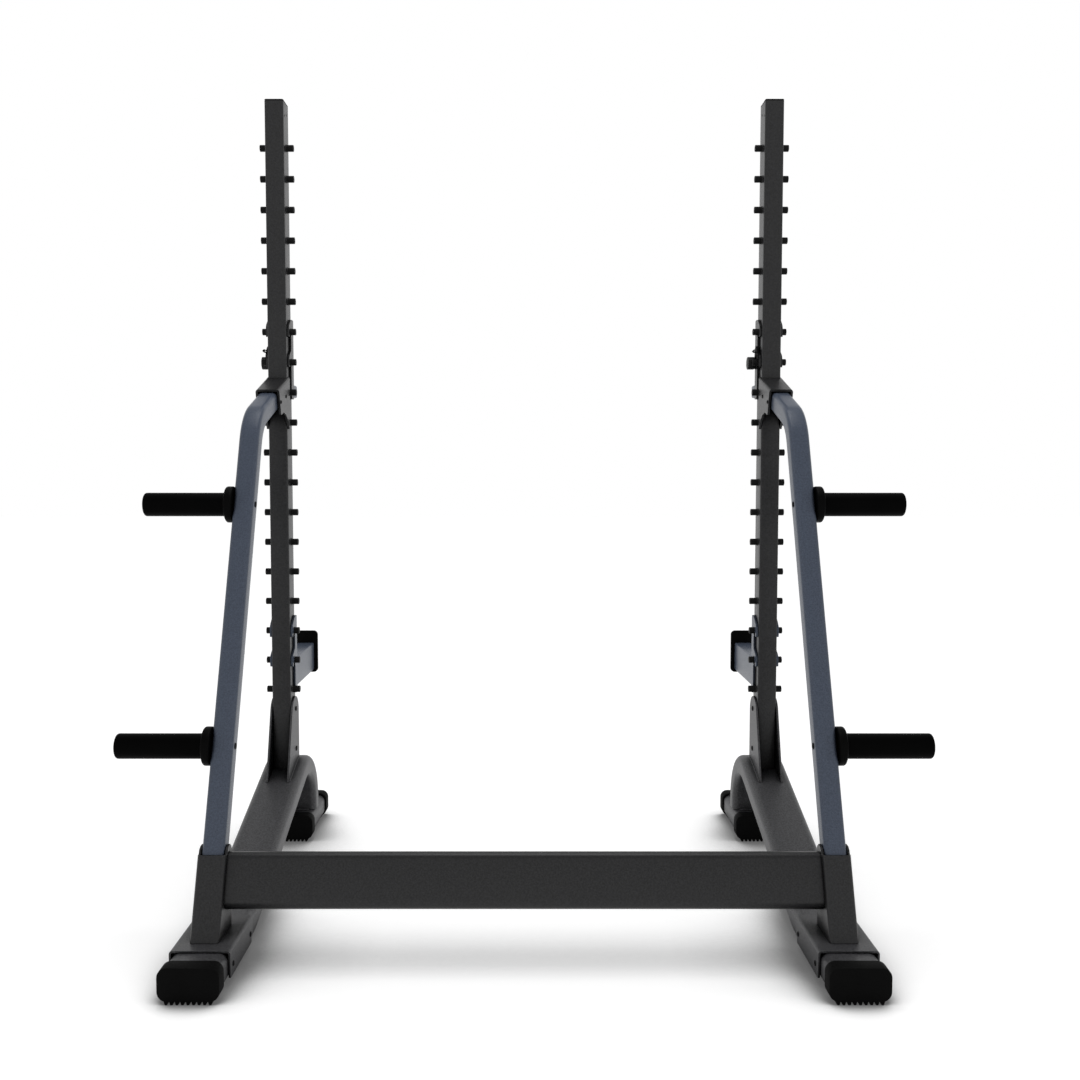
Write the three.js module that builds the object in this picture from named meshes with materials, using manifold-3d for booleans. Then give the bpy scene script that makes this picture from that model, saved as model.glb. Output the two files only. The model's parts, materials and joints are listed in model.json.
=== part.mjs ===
// Squat rack with two side frames, hook-on bar catches and hook-on spotter arms.
// Millimetres. X runs across the rack, Y from the front feet to the rear feet, Z up.
// Each side frame is built about its own middle plane, with Y counted from the face
// of the front foot. At the end the pieces are moved to their side of the rack and
// the origin is put under the middle of the whole rack.

import * as THREE from 'three';
import { mergeVertices } from 'three/addons/utils/BufferGeometryUtils.js';
import Module from 'manifold-3d';

const wasm = await Module();
wasm.setup();

// Whole rack
const frameSpacing = 1200;
const gap = 0.3;
const weldTolerance = 0.0001;
const cutMargin = 5;

// Base rail and rear foot tube, one section for both
const railWidth = 104;
const railHeight = 54;
const railCorner = 16;
const railWall = 3;
const railBottom = 8;
const railKneeY = 300.3;
const railKneeRadius = 150;
const railSlope = THREE.MathUtils.degToRad(16.25);
const archRadius = 115;
const legBehindUpright = 185;
const rearFootStart = 87;
const rearFootLength = 240;

// Ribbed rubber foot caps
const capWidth = 112.4;
const capTop = 67.5;
const capBodyBottom = 5.8;
const capCorner = 18;
const capLength = 36;
const capEndWall = 6;
const capEdge = 1.6;
const ribCount = 9;
const ribPitch = 9.9;
const ribFoot = 4.4;
const ribRoot = 8.4;
const ribRootHeight = 7.2;

// Folded saddle over the base rail
const saddleHalfWidth = 57;
const saddlePlate = 4;
const saddleTop = 66.4;
const saddleBottom = 14.5;
const saddleFrontY = 77;
const saddleRearY = 250;
const saddleFold = 6.5;
const saddleNotch = 11;
const saddleHoleRadius = 4.5;
const saddleHoleInset = 20;
const saddleHoleZ = 35;

// Brace and its socket. Both lean back by the same angle and stand a little outwards.
const braceOffset = 1;
const braceWidth = 43.3;
const braceDepth = 44;
const braceCorner = 10;
const braceWall = 2.5;
const braceFootY = 142.5;
const braceFootZ = 78;
const braceKneeLead = 255;
const braceKneeZ = 1061.9;
const braceKneeRadius = 112;
const braceTopSlope = THREE.MathUtils.degToRad(18);
const braceEndLead = 10;

const socketHalfWidth = 27.7;
const socketPlate = 4.8;
const socketFold = 7;
const socketFrontRise = 147.2;
const socketHeight = 159;
const socketDepth = 111;
const socketBackShares = [
  [0.863, 0], [0.881, 0.19], [0.998, 0.88], [0.956, 0.955],
  [0.874, 1], [0.755, 0.994], [0.69, 0.965], [0.655, 0.924]
];

// Cross beam between the two sockets
const beamHeight = 106.9;
const beamDepth = 55;
const beamCorner = 16;
const beamWall = 2.5;
const beamInset = 14.6;
const beamAboveSaddle = 53.4;
const beamHoleX = 65;
const beamHoleRadius = 5;

// Upright with its ladder of pegs
const uprightWidth = 45.3;
const uprightDepth = 60;
const uprightCorner = 4;
const uprightWall = 3;
const uprightFrontY = 810;
const uprightAbovePegs = 104.74;
const uprightTopHoles = [[15, 31], [38, 24]];
const uprightTopHoleRadius = 3;
const pegCount = 19;
const pegAboveGusset = 19.9;
const pegPitch = 73.518;
const pegRadius = 8;
const pegHalfLength = 40.6;
const topCapFlange = 4;
const topCapEdge = 1.3;
const topCapPlug = 16;
const topCapPlugWall = 2.2;

// Gusset plates and bolts at the upright's foot
const gussetPlate = 4.6;
const gussetLead = 61;
const gussetHeight = 195.7;
const gussetMiddle = 35;
const gussetRound = 40;
const gussetShoulder = THREE.MathUtils.degToRad(165);
const gussetHoleInset = 37;
const gussetHoleRises = [164.7, 63.7];
const gussetBoltRadius = 5;
const boltHeadRadius = 9;
const boltHeadHeight = 5.5;
const boltHeadEdge = 1.4;

// Folded bracket at the brace's upper end
const bracketPlate = 5;
const bracketFold = 7;
const bracketLead = 110.5;
const bracketRise = 8.7;
const bracketWrap = 12;
const bracketDrop = 120;
const bracketSideShares = [
  [0, 0], [-0.115, 0.41], [-0.08, 0.462], [0.02, 0.482], [0.2, 0.478],
  [0.41, 0.424], [0.62, 0.465], [0.8, 0.57], [0.91, 0.685], [0.95, 0.732], [1, 0.735]
];
const bracketHoles = [[76.1, 11.4], [17.9, 28]];
const bracketHoleRadius = 4;

// Plate horns, collars and their bolts
const hornHeights = [879, 401];
const hornRadius = 25.3;
const hornReach = 216.5;
const hornWall = 3;
const hornTipRound = 7;
const hornBase = 6;
const hornBoltRadius = 6;
const collarRadius = 39;
const collarReach = 40.5;
const collarEdge = 5;
const hornBoltHeadRadius = 10;
const hornBoltHeadHeight = 3.6;

// Hook channels: shared by the bar catch and the spotter arm
const hookHalfWidth = 28.2;
const hookPlate = 5;
const hookFold = 7;
const hookLift = THREE.MathUtils.degToRad(30);
const slotLength = 62;
const toothRise = 29;
const toothLead = 12.5;
const toothDrop = 14;
const toothRound = 5;

// Bar catch
const catchFirstPeg = 6;
const catchLead = 21;
const catchRecess = 4;
const catchClearance = 7;
const catchAbovePeg = 31.2;
const catchBelowPeg = 15.7;
const catchEndRound = 15;
const jawHalfWidth = 9;
const jawStem = 10;
const jawTopInset = 6.4;
const jawBottomInset = 7.1;
const jawThickness = 30.5;
const jawMouth = 63.7;
const jawLip = 14;
const jawLipHeight = 67;
const jawRound = 14;
const jawBlockHalfWidth = 25;
const jawBlockLength = 46.7;
const jawBlockCorner = 4;
const linerHalfWidth = 11.4;
const linerPlate = 6;
const linerRise = 3;
const linerRound = 9;

// Finger latch on the catch
const latchPivotInset = 56;
const latchPlate = 3;
const latchHub = 14;
const latchHookInner = 35;
const latchHookOuter = 43;
const latchHookStart = THREE.MathUtils.degToRad(108);
const latchHookEnd = THREE.MathUtils.degToRad(171);
const latchArmStart = THREE.MathUtils.degToRad(104);
const latchArmEnd = THREE.MathUtils.degToRad(132);
const latchTabReach = 41;
const latchTabWidth = 14;
const latchTabPlate = 2.4;
const latchTabCurl = 3.8;
const knobRadius = 15.5;
const knobReach = 48;
const knobEdge = 2;
const knobShank = 4;
const knobFlutes = 8;
const knobFluteRadius = 2.2;

// Spotter arm
const armFirstPeg = 16;
const armLead = 24;
const armRecess = 6;
const armClearance = 5.5;
const armAbovePeg = 35.5;
const armBelowPeg = 12.5;
const armEndRound = 13;
const armTopRound = 22;
const armWidth = 45;
const armBeamInset = 10.1;
const armBeamHeight = 74.5;
const armBeamWall = 3;
const armBeamCorner = 4;
const armBeamLength = 251.2;
const stopWidth = 65;
const stopDrop = 6.5;
const stopHeight = 114;
const stopPlate = 9;
const stopCorner = 8;
const stopEdge = 1.5;
const stopPlug = 18;
const stopPlugWall = 3;

// How finely the round shapes are cut
const tubeCornerSteps = 1;
const outlineSteps = 2;
const arcSteps = 4;
const bendStep = THREE.MathUtils.degToRad(15);
const pegSides = 10;
const hornSides = 16;
const boltSides = 8;
const fluteSides = 6;

// Colours, read off the photograph as plain values
const looks = {
  blackPaint: { color: 0x35363a, roughness: 0.5, metalness: 0.3 },
  greyPaint: { color: 0x4a4b4e, roughness: 0.5, metalness: 0.3 },
  bluePaint: { color: 0x4d5666, roughness: 0.45, metalness: 0.3 },
  rubber: { color: 0x141414, roughness: 0.85, metalness: 0 },
  plastic: { color: 0x0c0c0c, roughness: 0.6, metalness: 0 },
  steel: { color: 0x2c2c2e, roughness: 0.4, metalness: 0.8 }
};

// Sizes that follow from the ones above
const railMiddleZ = railBottom + railHeight / 2;
const railTop = railBottom + railHeight;
const pegY = uprightFrontY + uprightDepth / 2;
const uprightStartZ = railHeightAt(pegY);
const rearFootFrontY = uprightFrontY + rearFootStart;
const overallDepth = rearFootFrontY + rearFootLength;
const rightAngle = Math.PI / 2;
const fullTurn = Math.PI * 2;

const gussetTop = uprightStartZ + gussetHeight;
const gussetHoleY = uprightFrontY + gussetHoleInset;
const gussetHoleHeights = gussetHoleRises.map((rise) => uprightStartZ + rise);
const pegTopZ = gussetTop + pegAboveGusset + pegPitch * (pegCount - 1);
const uprightTop = pegTopZ + uprightAbovePegs;

const braceKneeY = uprightFrontY - braceKneeLead;
const braceLean = Math.atan2(braceKneeY - braceFootY, braceKneeZ - braceFootZ);
const bracketSpan = bracketLead + bracketWrap;
const bracketFrontY = uprightFrontY - bracketLead;
const bracketFrontZ = braceHeightAt(bracketFrontY) + bracketRise
  + braceDepth / (2 * Math.cos(braceTopSlope));

const catchBack = uprightFrontY + uprightDepth + catchClearance;
const catchTop = pegHeight(catchFirstPeg) + catchAbovePeg;
const catchBottom = pegHeight(catchFirstPeg + 2) - catchBelowPeg;
const jawTop = catchTop - jawTopInset;
const jawBottom = catchBottom + jawBottomInset;
const jawFloor = jawBottom + jawThickness;
const jawLipTop = jawFloor + jawLipHeight;
const jawLipInner = catchBack + gap + jawStem + jawMouth;
const latchPivotY = uprightFrontY + latchPivotInset;
const latchPivotZ = pegHeight(catchFirstPeg + 1);

const armBack = uprightFrontY + uprightDepth + armClearance;
const armTop = pegHeight(armFirstPeg) + armAbovePeg;
const armBottom = pegHeight(armFirstPeg + 2) - armBelowPeg;
const armBeamEnd = armBack + gap + armBeamLength;
const armBeamMiddle = armBottom + armBeamInset + armBeamHeight / 2;

function railHeightAt(y) {
  return railMiddleZ + (y - railKneeY) * Math.tan(railSlope);
}

function braceHeightAt(y) {
  return braceKneeZ + (y - braceKneeY) * Math.tan(braceTopSlope);
}

function pegHeight(index) {
  return pegTopZ - pegPitch * index;
}

// The front face of the brace's socket at a height.
function socketFrontAt(z) {
  const reach = (braceDepth / 2 + gap + socketPlate) / Math.cos(braceLean);
  return hornY(z) - reach;
}

// Outlines

function roundedRect(width, height, radius, centreX = 0, centreY = 0) {
  const right = centreX + width / 2 - radius;
  const left = centreX - width / 2 + radius;
  const top = centreY + height / 2 - radius;
  const bottom = centreY - height / 2 + radius;
  const shape = new THREE.Shape();
  shape.absarc(right, top, radius, 0, rightAngle);
  shape.absarc(left, top, radius, rightAngle, 2 * rightAngle);
  shape.absarc(left, bottom, radius, 2 * rightAngle, 3 * rightAngle);
  shape.absarc(right, bottom, radius, 3 * rightAngle, fullTurn);
  shape.closePath();
  return shape;
}

function tubeShape(width, height, radius, wall, centreX = 0, centreY = 0) {
  const shape = roundedRect(width, height, radius, centreX, centreY);
  const innerRadius = Math.max(radius - wall, wall / 2);
  const bore = roundedRect(width - 2 * wall, height - 2 * wall, innerRadius, centreX, centreY);
  shape.holes.push(bore);
  return shape;
}

function circle(radius, centreX = 0, centreY = 0) {
  const shape = new THREE.Shape();
  shape.absarc(centreX, centreY, radius, 0, fullTurn);
  return shape;
}

// A polygon whose corners are [x, y, rounding], the rounding being 0 if left out.
function softShape(corners) {
  const points = corners.map(([x, y]) => new THREE.Vector2(x, y));
  const shape = new THREE.Shape();
  points.forEach((corner, i) => {
    const before = points[(i + points.length - 1) % points.length];
    const after = points[(i + 1) % points.length];
    const rounding = corners[i][2] ?? 0;
    const reachIn = Math.min(rounding, corner.distanceTo(before) / 2);
    const reachOut = Math.min(rounding, corner.distanceTo(after) / 2);
    const start = corner.clone().sub(before).setLength(-reachIn).add(corner);
    const end = corner.clone().sub(after).setLength(-reachOut).add(corner);
    if (i === 0) {
      shape.moveTo(start.x, start.y);
    } else {
      shape.lineTo(start.x, start.y);
    }
    if (rounding > 0) {
      shape.quadraticCurveTo(corner.x, corner.y, end.x, end.y);
    }
  });
  shape.closePath();
  return shape;
}

// A folded sheet in section: its web lies at y = 0 and its two sides run up in y.
function channelShape(halfWidth, plate, depth, fold) {
  const inner = halfWidth - plate;
  const innerFold = fold - plate;
  const shape = new THREE.Shape();
  shape.moveTo(halfWidth, depth);
  shape.lineTo(inner, depth);
  shape.lineTo(inner, plate + innerFold);
  shape.absarc(inner - innerFold, plate + innerFold, innerFold, 0, -rightAngle, true);
  shape.absarc(innerFold - inner, plate + innerFold, innerFold, -rightAngle, -2 * rightAngle, true);
  shape.lineTo(-inner, depth);
  shape.lineTo(-halfWidth, depth);
  shape.absarc(fold - halfWidth, fold, fold, 2 * rightAngle, 3 * rightAngle);
  shape.absarc(halfWidth - fold, fold, fold, 3 * rightAngle, fullTurn);
  shape.closePath();
  return shape;
}

// Solids

function toSolid(geometry) {
  const bare = geometry.clone();
  bare.deleteAttribute('normal');
  bare.deleteAttribute('uv');
  const merged = mergeVertices(bare, weldTolerance);
  const index = merged.index.array;
  const kept = [];
  for (let i = 0; i < index.length; i += 3) {
    const [a, b, c] = [index[i], index[i + 1], index[i + 2]];
    if (a !== b && b !== c && c !== a) {
      kept.push(a, b, c);
    }
  }
  return new wasm.Manifold(new wasm.Mesh({
    numProp: 3,
    vertProperties: new Float32Array(merged.attributes.position.array),
    triVerts: new Uint32Array(kept)
  }));
}

// Directions of a piece that leans back: v goes into its depth, w up its height.
function leanAxes(lean) {
  return {
    u: new THREE.Vector3(1, 0, 0),
    v: new THREE.Vector3(0, Math.cos(lean), -Math.sin(lean)),
    w: new THREE.Vector3(0, Math.sin(lean), Math.cos(lean))
  };
}

function extruded(shape, length, segments, edge = 0) {
  const bevel = edge > 0;
  const geometry = new THREE.ExtrudeGeometry(shape, {
    depth: length - 2 * edge,
    steps: 1,
    curveSegments: segments,
    bevelEnabled: bevel,
    bevelSegments: 1,
    bevelThickness: edge,
    bevelSize: edge,
    bevelOffset: -edge
  });
  return geometry.translate(0, 0, edge);
}

function placed(geometry, axisX, axisY, axisZ, x, y, z) {
  const matrix = new THREE.Matrix4().makeBasis(axisX, axisY, axisZ).setPosition(x, y, z);
  return toSolid(geometry.applyMatrix4(matrix));
}

// Outline in depth and height, extruded across the rack.
function alongX(shape, fromX, toX, { lean = 0, y = 0, z = 0, segments = outlineSteps } = {}) {
  const { u, v, w } = leanAxes(lean);
  return placed(extruded(shape, toX - fromX, segments), v, w, u, fromX, y, z);
}

// Outline in width and depth, extruded up a leaning height.
function upLean(shape, length, { lean = 0, y = 0, z = 0, segments = tubeCornerSteps } = {}) {
  const { u, v, w } = leanAxes(lean);
  return placed(extruded(shape, length, segments), u, v, w, 0, y, z);
}

// Outline in width and height, extruded from the front towards the rear.
function alongY(shape, fromY, toY, edge = 0, segments = tubeCornerSteps) {
  const width = new THREE.Vector3(1, 0, 0);
  const height = new THREE.Vector3(0, 0, 1);
  const forward = new THREE.Vector3(0, -1, 0);
  return placed(extruded(shape, toY - fromY, segments, edge), width, height, forward, 0, toY, 0);
}

function alongZ(shape, fromZ, toZ, edge = 0, segments = tubeCornerSteps) {
  return toSolid(extruded(shape, toZ - fromZ, segments, edge).translate(0, 0, fromZ));
}

function rodX(radius, fromX, toX, y, z, sides = boltSides) {
  const geometry = new THREE.CylinderGeometry(radius, radius, toX - fromX, sides);
  geometry.rotateZ(-rightAngle);
  return toSolid(geometry.translate((fromX + toX) / 2, y, z));
}

// A tool for a round hole, whose flats lie outside the radius.
function drillX(radius, fromX, toX, y, z) {
  return rodX(radius / Math.cos(Math.PI / boltSides), fromX, toX, y, z);
}

// A turned piece about a line along X. The profile lists [radius, x] all the way round.
function turnedX(profile, y, z, sides) {
  const points = [...profile, profile[0]].map(([radius, x]) => new THREE.Vector2(radius, x));
  const geometry = new THREE.LatheGeometry(points, sides);
  geometry.rotateZ(-rightAngle);
  return toSolid(geometry.translate(0, y, z));
}

// A bent centre line in the plane of depth and height: straight runs joined by arcs.
class BentLine extends THREE.Curve {
  constructor(corners, radii) {
    super();
    this.points = [];
    this.tangents = [];
    const bends = corners.slice(1, -1).map((corner, i) => this.bend(corners, i + 1, radii[i]));
    this.addStation(corners[0], corners[1].clone().sub(corners[0]));
    bends.forEach((stations) => stations.forEach(([point, tangent]) => this.addStation(point, tangent)));
    const last = corners.length - 1;
    this.addStation(corners[last], corners[last].clone().sub(corners[last - 1]));
  }

  addStation(point, tangent) {
    this.points.push(new THREE.Vector3(0, point.x, point.y));
    this.tangents.push(new THREE.Vector3(0, tangent.x, tangent.y).normalize());
  }

  bend(corners, i, radius) {
    const before = corners[i].clone().sub(corners[i - 1]).normalize();
    const after = corners[i + 1].clone().sub(corners[i]).normalize();
    const turn = Math.atan2(before.cross(after), before.dot(after));
    const reach = radius * Math.tan(Math.abs(turn) / 2);
    const side = Math.sign(turn);
    const inward = new THREE.Vector2(-before.y, before.x).multiplyScalar(side * radius);
    const start = corners[i].clone().addScaledVector(before, -reach);
    const centre = start.clone().add(inward);
    const steps = Math.ceil(Math.abs(turn) / bendStep);
    const stations = [];
    for (let k = 0; k <= steps; k += 1) {
      const angle = turn * k / steps;
      const spoke = inward.clone().negate().rotateAround(new THREE.Vector2(), angle);
      const tangent = before.clone().rotateAround(new THREE.Vector2(), angle);
      stations.push([centre.clone().add(spoke), tangent]);
    }
    return stations;
  }

  get steps() {
    return this.points.length - 1;
  }

  getPointAt(share) {
    return this.points[Math.round(share * this.steps)].clone();
  }

  computeFrenetFrames() {
    const across = new THREE.Vector3(1, 0, 0);
    return {
      tangents: this.tangents,
      normals: this.tangents.map(() => across.clone()),
      binormals: this.tangents.map((tangent) => new THREE.Vector3().crossVectors(tangent, across))
    };
  }
}

function swept(shape, line) {
  return toSolid(new THREE.ExtrudeGeometry(shape, {
    steps: line.steps,
    curveSegments: tubeCornerSteps,
    extrudePath: line
  }));
}

function subtractAll(solid, tools) {
  return tools.reduce((left, tool) => left.subtract(tool), solid);
}

function unite(solids) {
  return solids.reduce((sum, solid) => sum.add(solid));
}

// Pieces of the base

function railLine() {
  const legY = uprightFrontY + legBehindUpright;
  return new BentLine([
    new THREE.Vector2(capEndWall + gap, railMiddleZ),
    new THREE.Vector2(railKneeY, railMiddleZ),
    new THREE.Vector2(legY, railHeightAt(legY)),
    new THREE.Vector2(legY, railTop + gap)
  ], [railKneeRadius, archRadius]);
}

function baseRail() {
  return swept(tubeShape(railWidth, railHeight, railCorner, railWall), railLine());
}

function railEnvelope() {
  const grown = roundedRect(railWidth + 2 * gap, railHeight + 2 * gap, railCorner + gap);
  return swept(grown, railLine());
}

function rearFootTube() {
  const shape = tubeShape(railWidth, railHeight, railCorner, railWall, 0, railMiddleZ);
  const inset = capEndWall + gap;
  return alongY(shape, rearFootFrontY + inset, overallDepth - inset);
}

// The cap's closed end lies at faceY. It opens towards the rear if facing is 1.
function footCap(faceY, facing) {
  const openY = faceY + facing * capLength;
  const fromY = Math.min(faceY, openY);
  const toY = Math.max(faceY, openY);
  const bodyHeight = capTop - capBodyBottom;
  const body = alongY(
    roundedRect(capWidth, bodyHeight, capCorner, 0, capBodyBottom + bodyHeight / 2),
    fromY, toY, capEdge
  );
  const ribs = [];
  for (let i = 0; i < ribCount; i += 1) {
    const x = (i - (ribCount - 1) / 2) * ribPitch;
    const rib = softShape([
      [x - ribFoot / 2, 0], [x + ribFoot / 2, 0],
      [x + ribRoot / 2, ribRootHeight], [x - ribRoot / 2, ribRootHeight]
    ]);
    ribs.push(alongY(rib, fromY + capEdge, toY - capEdge));
  }
  const pocket = roundedRect(railWidth + 2 * gap, railHeight + 2 * gap, railCorner + gap,
    0, railMiddleZ);
  const pocketFrom = facing > 0 ? faceY + capEndWall : fromY - cutMargin;
  const pocketTo = facing > 0 ? toY + cutMargin : faceY - capEndWall;
  return unite([body, ...ribs]).subtract(alongY(pocket, pocketFrom, pocketTo));
}

function frontSaddle() {
  const section = channelShape(saddleHalfWidth, saddlePlate, saddleTop - saddleBottom, saddleFold);
  const length = saddleRearY - saddleFrontY;
  const sheet = upLean(section, length, { lean: rightAngle, y: saddleFrontY, z: saddleTop });
  const side = softShape([
    [saddleFrontY, saddleBottom, saddlePlate], [saddleFrontY, saddleTop + cutMargin],
    [saddleRearY, saddleTop + cutMargin], [saddleRearY, saddleBottom + saddleNotch, saddlePlate],
    [saddleRearY - saddleNotch, saddleBottom + saddleNotch, saddlePlate],
    [saddleRearY - saddleNotch, saddleBottom, saddlePlate]
  ]);
  const reach = saddleHalfWidth + cutMargin;
  const holes = [saddleFrontY + saddleHoleInset, saddleRearY - saddleHoleInset].map((y) => (
    drillX(saddleHoleRadius, -reach, reach, y, saddleHoleZ)
  ));
  return subtractAll(sheet.intersect(alongX(side, -reach, reach)), holes);
}

// Pieces of the brace

function braceLine() {
  const endY = uprightFrontY - braceEndLead;
  return new BentLine([
    new THREE.Vector2(braceFootY, braceFootZ),
    new THREE.Vector2(braceKneeY, braceKneeZ),
    new THREE.Vector2(endY, braceHeightAt(endY))
  ], [braceKneeRadius]);
}

function hornY(height) {
  return braceFootY + (height - braceFootZ) * Math.tan(braceLean);
}

function braceTube() {
  const tube = swept(tubeShape(braceWidth, braceDepth, braceCorner, braceWall), braceLine());
  const reach = braceWidth / 2 + cutMargin;
  const holes = hornHeights.map((z) => drillX(hornBoltRadius + gap, -reach, reach, hornY(z), z));
  return subtractAll(tube, holes);
}

function braceSocket() {
  const bottom = saddleTop + gap;
  const startY = socketFrontAt(bottom);
  const back = socketBackShares.map(([depthShare, heightShare]) => (
    [startY + depthShare * socketDepth, bottom + heightShare * socketHeight]
  ));
  const frontTop = bottom + socketFrontRise;
  const front = [[socketFrontAt(frontTop), frontTop], [startY, bottom]];
  const reach = socketHalfWidth + cutMargin;
  const side = alongX(softShape([...back, ...front]), -reach, reach);
  const section = channelShape(socketHalfWidth, socketPlate, socketDepth, socketFold);
  const startZ = bottom - socketDepth;
  const sheet = upLean(section, 2 * socketHeight + socketDepth,
    { lean: braceLean, y: socketFrontAt(startZ), z: startZ });
  return sheet.intersect(side);
}

function crossBeam() {
  const shape = tubeShape(beamDepth, beamHeight, beamCorner, beamWall, beamDepth / 2, beamHeight / 2);
  const reach = frameSpacing / 2 + braceOffset - socketHalfWidth - gap;
  const bottom = saddleTop + beamAboveSaddle;
  const place = { lean: braceLean, y: socketFrontAt(bottom) + beamInset, z: bottom };
  const beam = alongX(shape, -reach, reach, { ...place, segments: tubeCornerSteps });
  const holes = [-beamHoleX, beamHoleX].map((x) => (
    upLean(circle(beamHoleRadius, x, beamDepth / 2), 2 * beamCorner, { ...place, segments: arcSteps })
      .translate(0, -beamCorner * Math.sin(braceLean), -beamCorner * Math.cos(braceLean))
  ));
  return subtractAll(beam, holes);
}

function upperBracket() {
  const lean = rightAngle - braceTopSlope;
  const halfWidth = uprightWidth / 2 + gap + bracketPlate;
  const section = channelShape(halfWidth, bracketPlate, bracketDrop, bracketFold);
  const run = { lean, y: bracketFrontY, z: bracketFrontZ };
  const sheet = upLean(section, 2 * bracketSpan, run);
  const rise = Math.tan(braceTopSlope);
  const corners = bracketSideShares.map(([spanShare, dropShare]) => {
    const y = bracketFrontY + spanShare * bracketSpan;
    return [y, bracketFrontZ - dropShare * bracketDrop];
  });
  const rearY = bracketFrontY + bracketSpan;
  corners.push([rearY, bracketFrontZ + bracketSpan * rise + cutMargin]);
  corners.push([bracketFrontY, bracketFrontZ + cutMargin]);
  const reach = hookHalfWidth + cutMargin;
  const side = alongX(softShape(corners), -reach, reach);
  const holes = bracketHoles.map(([back, drop]) => (
    drillX(bracketHoleRadius, -reach, reach, bracketFrontY + back, bracketFrontZ - drop)
  ));
  return subtractAll(sheet.intersect(side), [uprightEnvelope(), ...holes]);
}

// Pieces of the upright

function uprightEnvelope() {
  const shape = roundedRect(uprightWidth + 2 * gap, uprightDepth + 2 * gap, uprightCorner, 0, pegY);
  return alongZ(shape, uprightStartZ, uprightTop);
}

function upright() {
  const shape = tubeShape(uprightWidth, uprightDepth, uprightCorner, uprightWall, 0, pegY);
  const tube = alongZ(shape, uprightStartZ, uprightTop).subtract(railEnvelope());
  const pegs = [];
  const root = (uprightWidth - uprightWall) / 2;
  for (let i = 0; i < pegCount; i += 1) {
    pegs.push(rodX(pegRadius, root, pegHalfLength, pegY, pegHeight(i), pegSides));
    pegs.push(rodX(pegRadius, -pegHalfLength, -root, pegY, pegHeight(i), pegSides));
  }
  return unite([tube, ...pegs]);
}

function drilledUpright(innerSide) {
  const reach = uprightWidth / 2 + cutMargin;
  const boltHoles = gussetHoleHeights.map((z) => (
    drillX(gussetBoltRadius + gap, -reach, reach, gussetHoleY, z)
  ));
  const fromX = innerSide > 0 ? 0 : -reach;
  const toX = innerSide > 0 ? reach : 0;
  const topHoles = uprightTopHoles.map(([depth, drop]) => (
    drillX(uprightTopHoleRadius, fromX, toX, uprightFrontY + depth, uprightTop - drop)
  ));
  return subtractAll(upright(), [...boltHoles, ...topHoles]);
}

function uprightTopCap() {
  const flange = alongZ(roundedRect(uprightWidth, uprightDepth, uprightCorner, 0, pegY),
    uprightTop + gap, uprightTop + topCapFlange, topCapEdge);
  const width = uprightWidth - 2 * uprightWall - 2 * gap;
  const depth = uprightDepth - 2 * uprightWall - 2 * gap;
  const plug = alongZ(tubeShape(width, depth, uprightWall, topCapPlugWall, 0, pegY),
    uprightTop - topCapPlug, uprightTop + topCapFlange / 2);
  return unite([flange, plug]);
}

function gusset(fromX, toX) {
  const shape = new THREE.Shape();
  const centreZ = gussetTop - gussetRound;
  const middleY = uprightFrontY + gussetMiddle;
  shape.moveTo(middleY + gussetRound, uprightStartZ);
  shape.lineTo(uprightFrontY - gussetLead, uprightStartZ);
  shape.absarc(middleY, centreZ, gussetRound, gussetShoulder, 0, true);
  shape.closePath();
  const holes = gussetHoleHeights.map((z) => (
    drillX(gussetBoltRadius + gap, fromX - cutMargin, toX + cutMargin, gussetHoleY, z)
  ));
  const plate = alongX(shape, fromX, toX, { segments: arcSteps });
  return subtractAll(plate, [railEnvelope(), ...holes]);
}

function gussetBolt(z) {
  const plateOuter = uprightWidth / 2 + gap + gussetPlate;
  const seat = plateOuter + gap;
  const tip = seat + boltHeadHeight;
  const rim = boltHeadRadius - boltHeadEdge;
  return turnedX([
    [0, -tip], [rim, -tip], [boltHeadRadius, boltHeadEdge - tip], [boltHeadRadius, -seat],
    [gussetBoltRadius, -seat], [gussetBoltRadius, seat],
    [boltHeadRadius, seat], [boltHeadRadius, tip - boltHeadEdge], [rim, tip], [0, tip]
  ], gussetHoleY, z, boltSides);
}

// Plate horns. They are drawn pointing to +X and mirrored for the left frame.

function hornSeat() {
  return braceOffset + braceWidth / 2 + gap;
}

function horn(z) {
  const start = hornSeat();
  const inner = hornRadius - hornWall;
  const tip = hornReach - hornTipRound;
  const slant = hornTipRound * Math.SQRT1_2;
  return turnedX([
    [hornBoltRadius + gap, start], [hornRadius, start], [hornRadius, tip],
    [hornRadius - hornTipRound + slant, tip + slant], [hornRadius - hornTipRound, hornReach],
    [0, hornReach], [0, hornReach - hornWall], [inner - hornTipRound / 2, hornReach - hornWall],
    [inner, tip], [inner, start + hornBase], [hornBoltRadius + gap, start + hornBase]
  ], hornY(z), z, hornSides);
}

function hornCollar(z) {
  const start = hornSeat();
  const bore = hornRadius + gap;
  const slant = collarEdge * (1 - Math.SQRT1_2);
  return turnedX([
    [bore, start], [collarRadius - collarEdge / 2, start], [collarRadius, start + collarEdge / 2],
    [collarRadius, collarReach - collarEdge], [collarRadius - slant, collarReach - slant],
    [collarRadius - collarEdge, collarReach], [bore, collarReach]
  ], hornY(z), z, hornSides);
}

function hornBolt(z) {
  const seat = braceOffset - braceWidth / 2 - gap;
  const tip = seat - hornBoltHeadHeight;
  const rim = hornBoltHeadRadius - boltHeadEdge;
  const end = hornSeat() + hornBase + hornWall;
  return turnedX([
    [0, tip], [rim, tip], [hornBoltHeadRadius, tip + boltHeadEdge], [hornBoltHeadRadius, seat],
    [hornBoltRadius, seat], [hornBoltRadius, end], [0, end]
  ], hornY(z), z, boltSides);
}

// Hook channels that hang on three pegs, toothed over the two upper ones.

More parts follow.
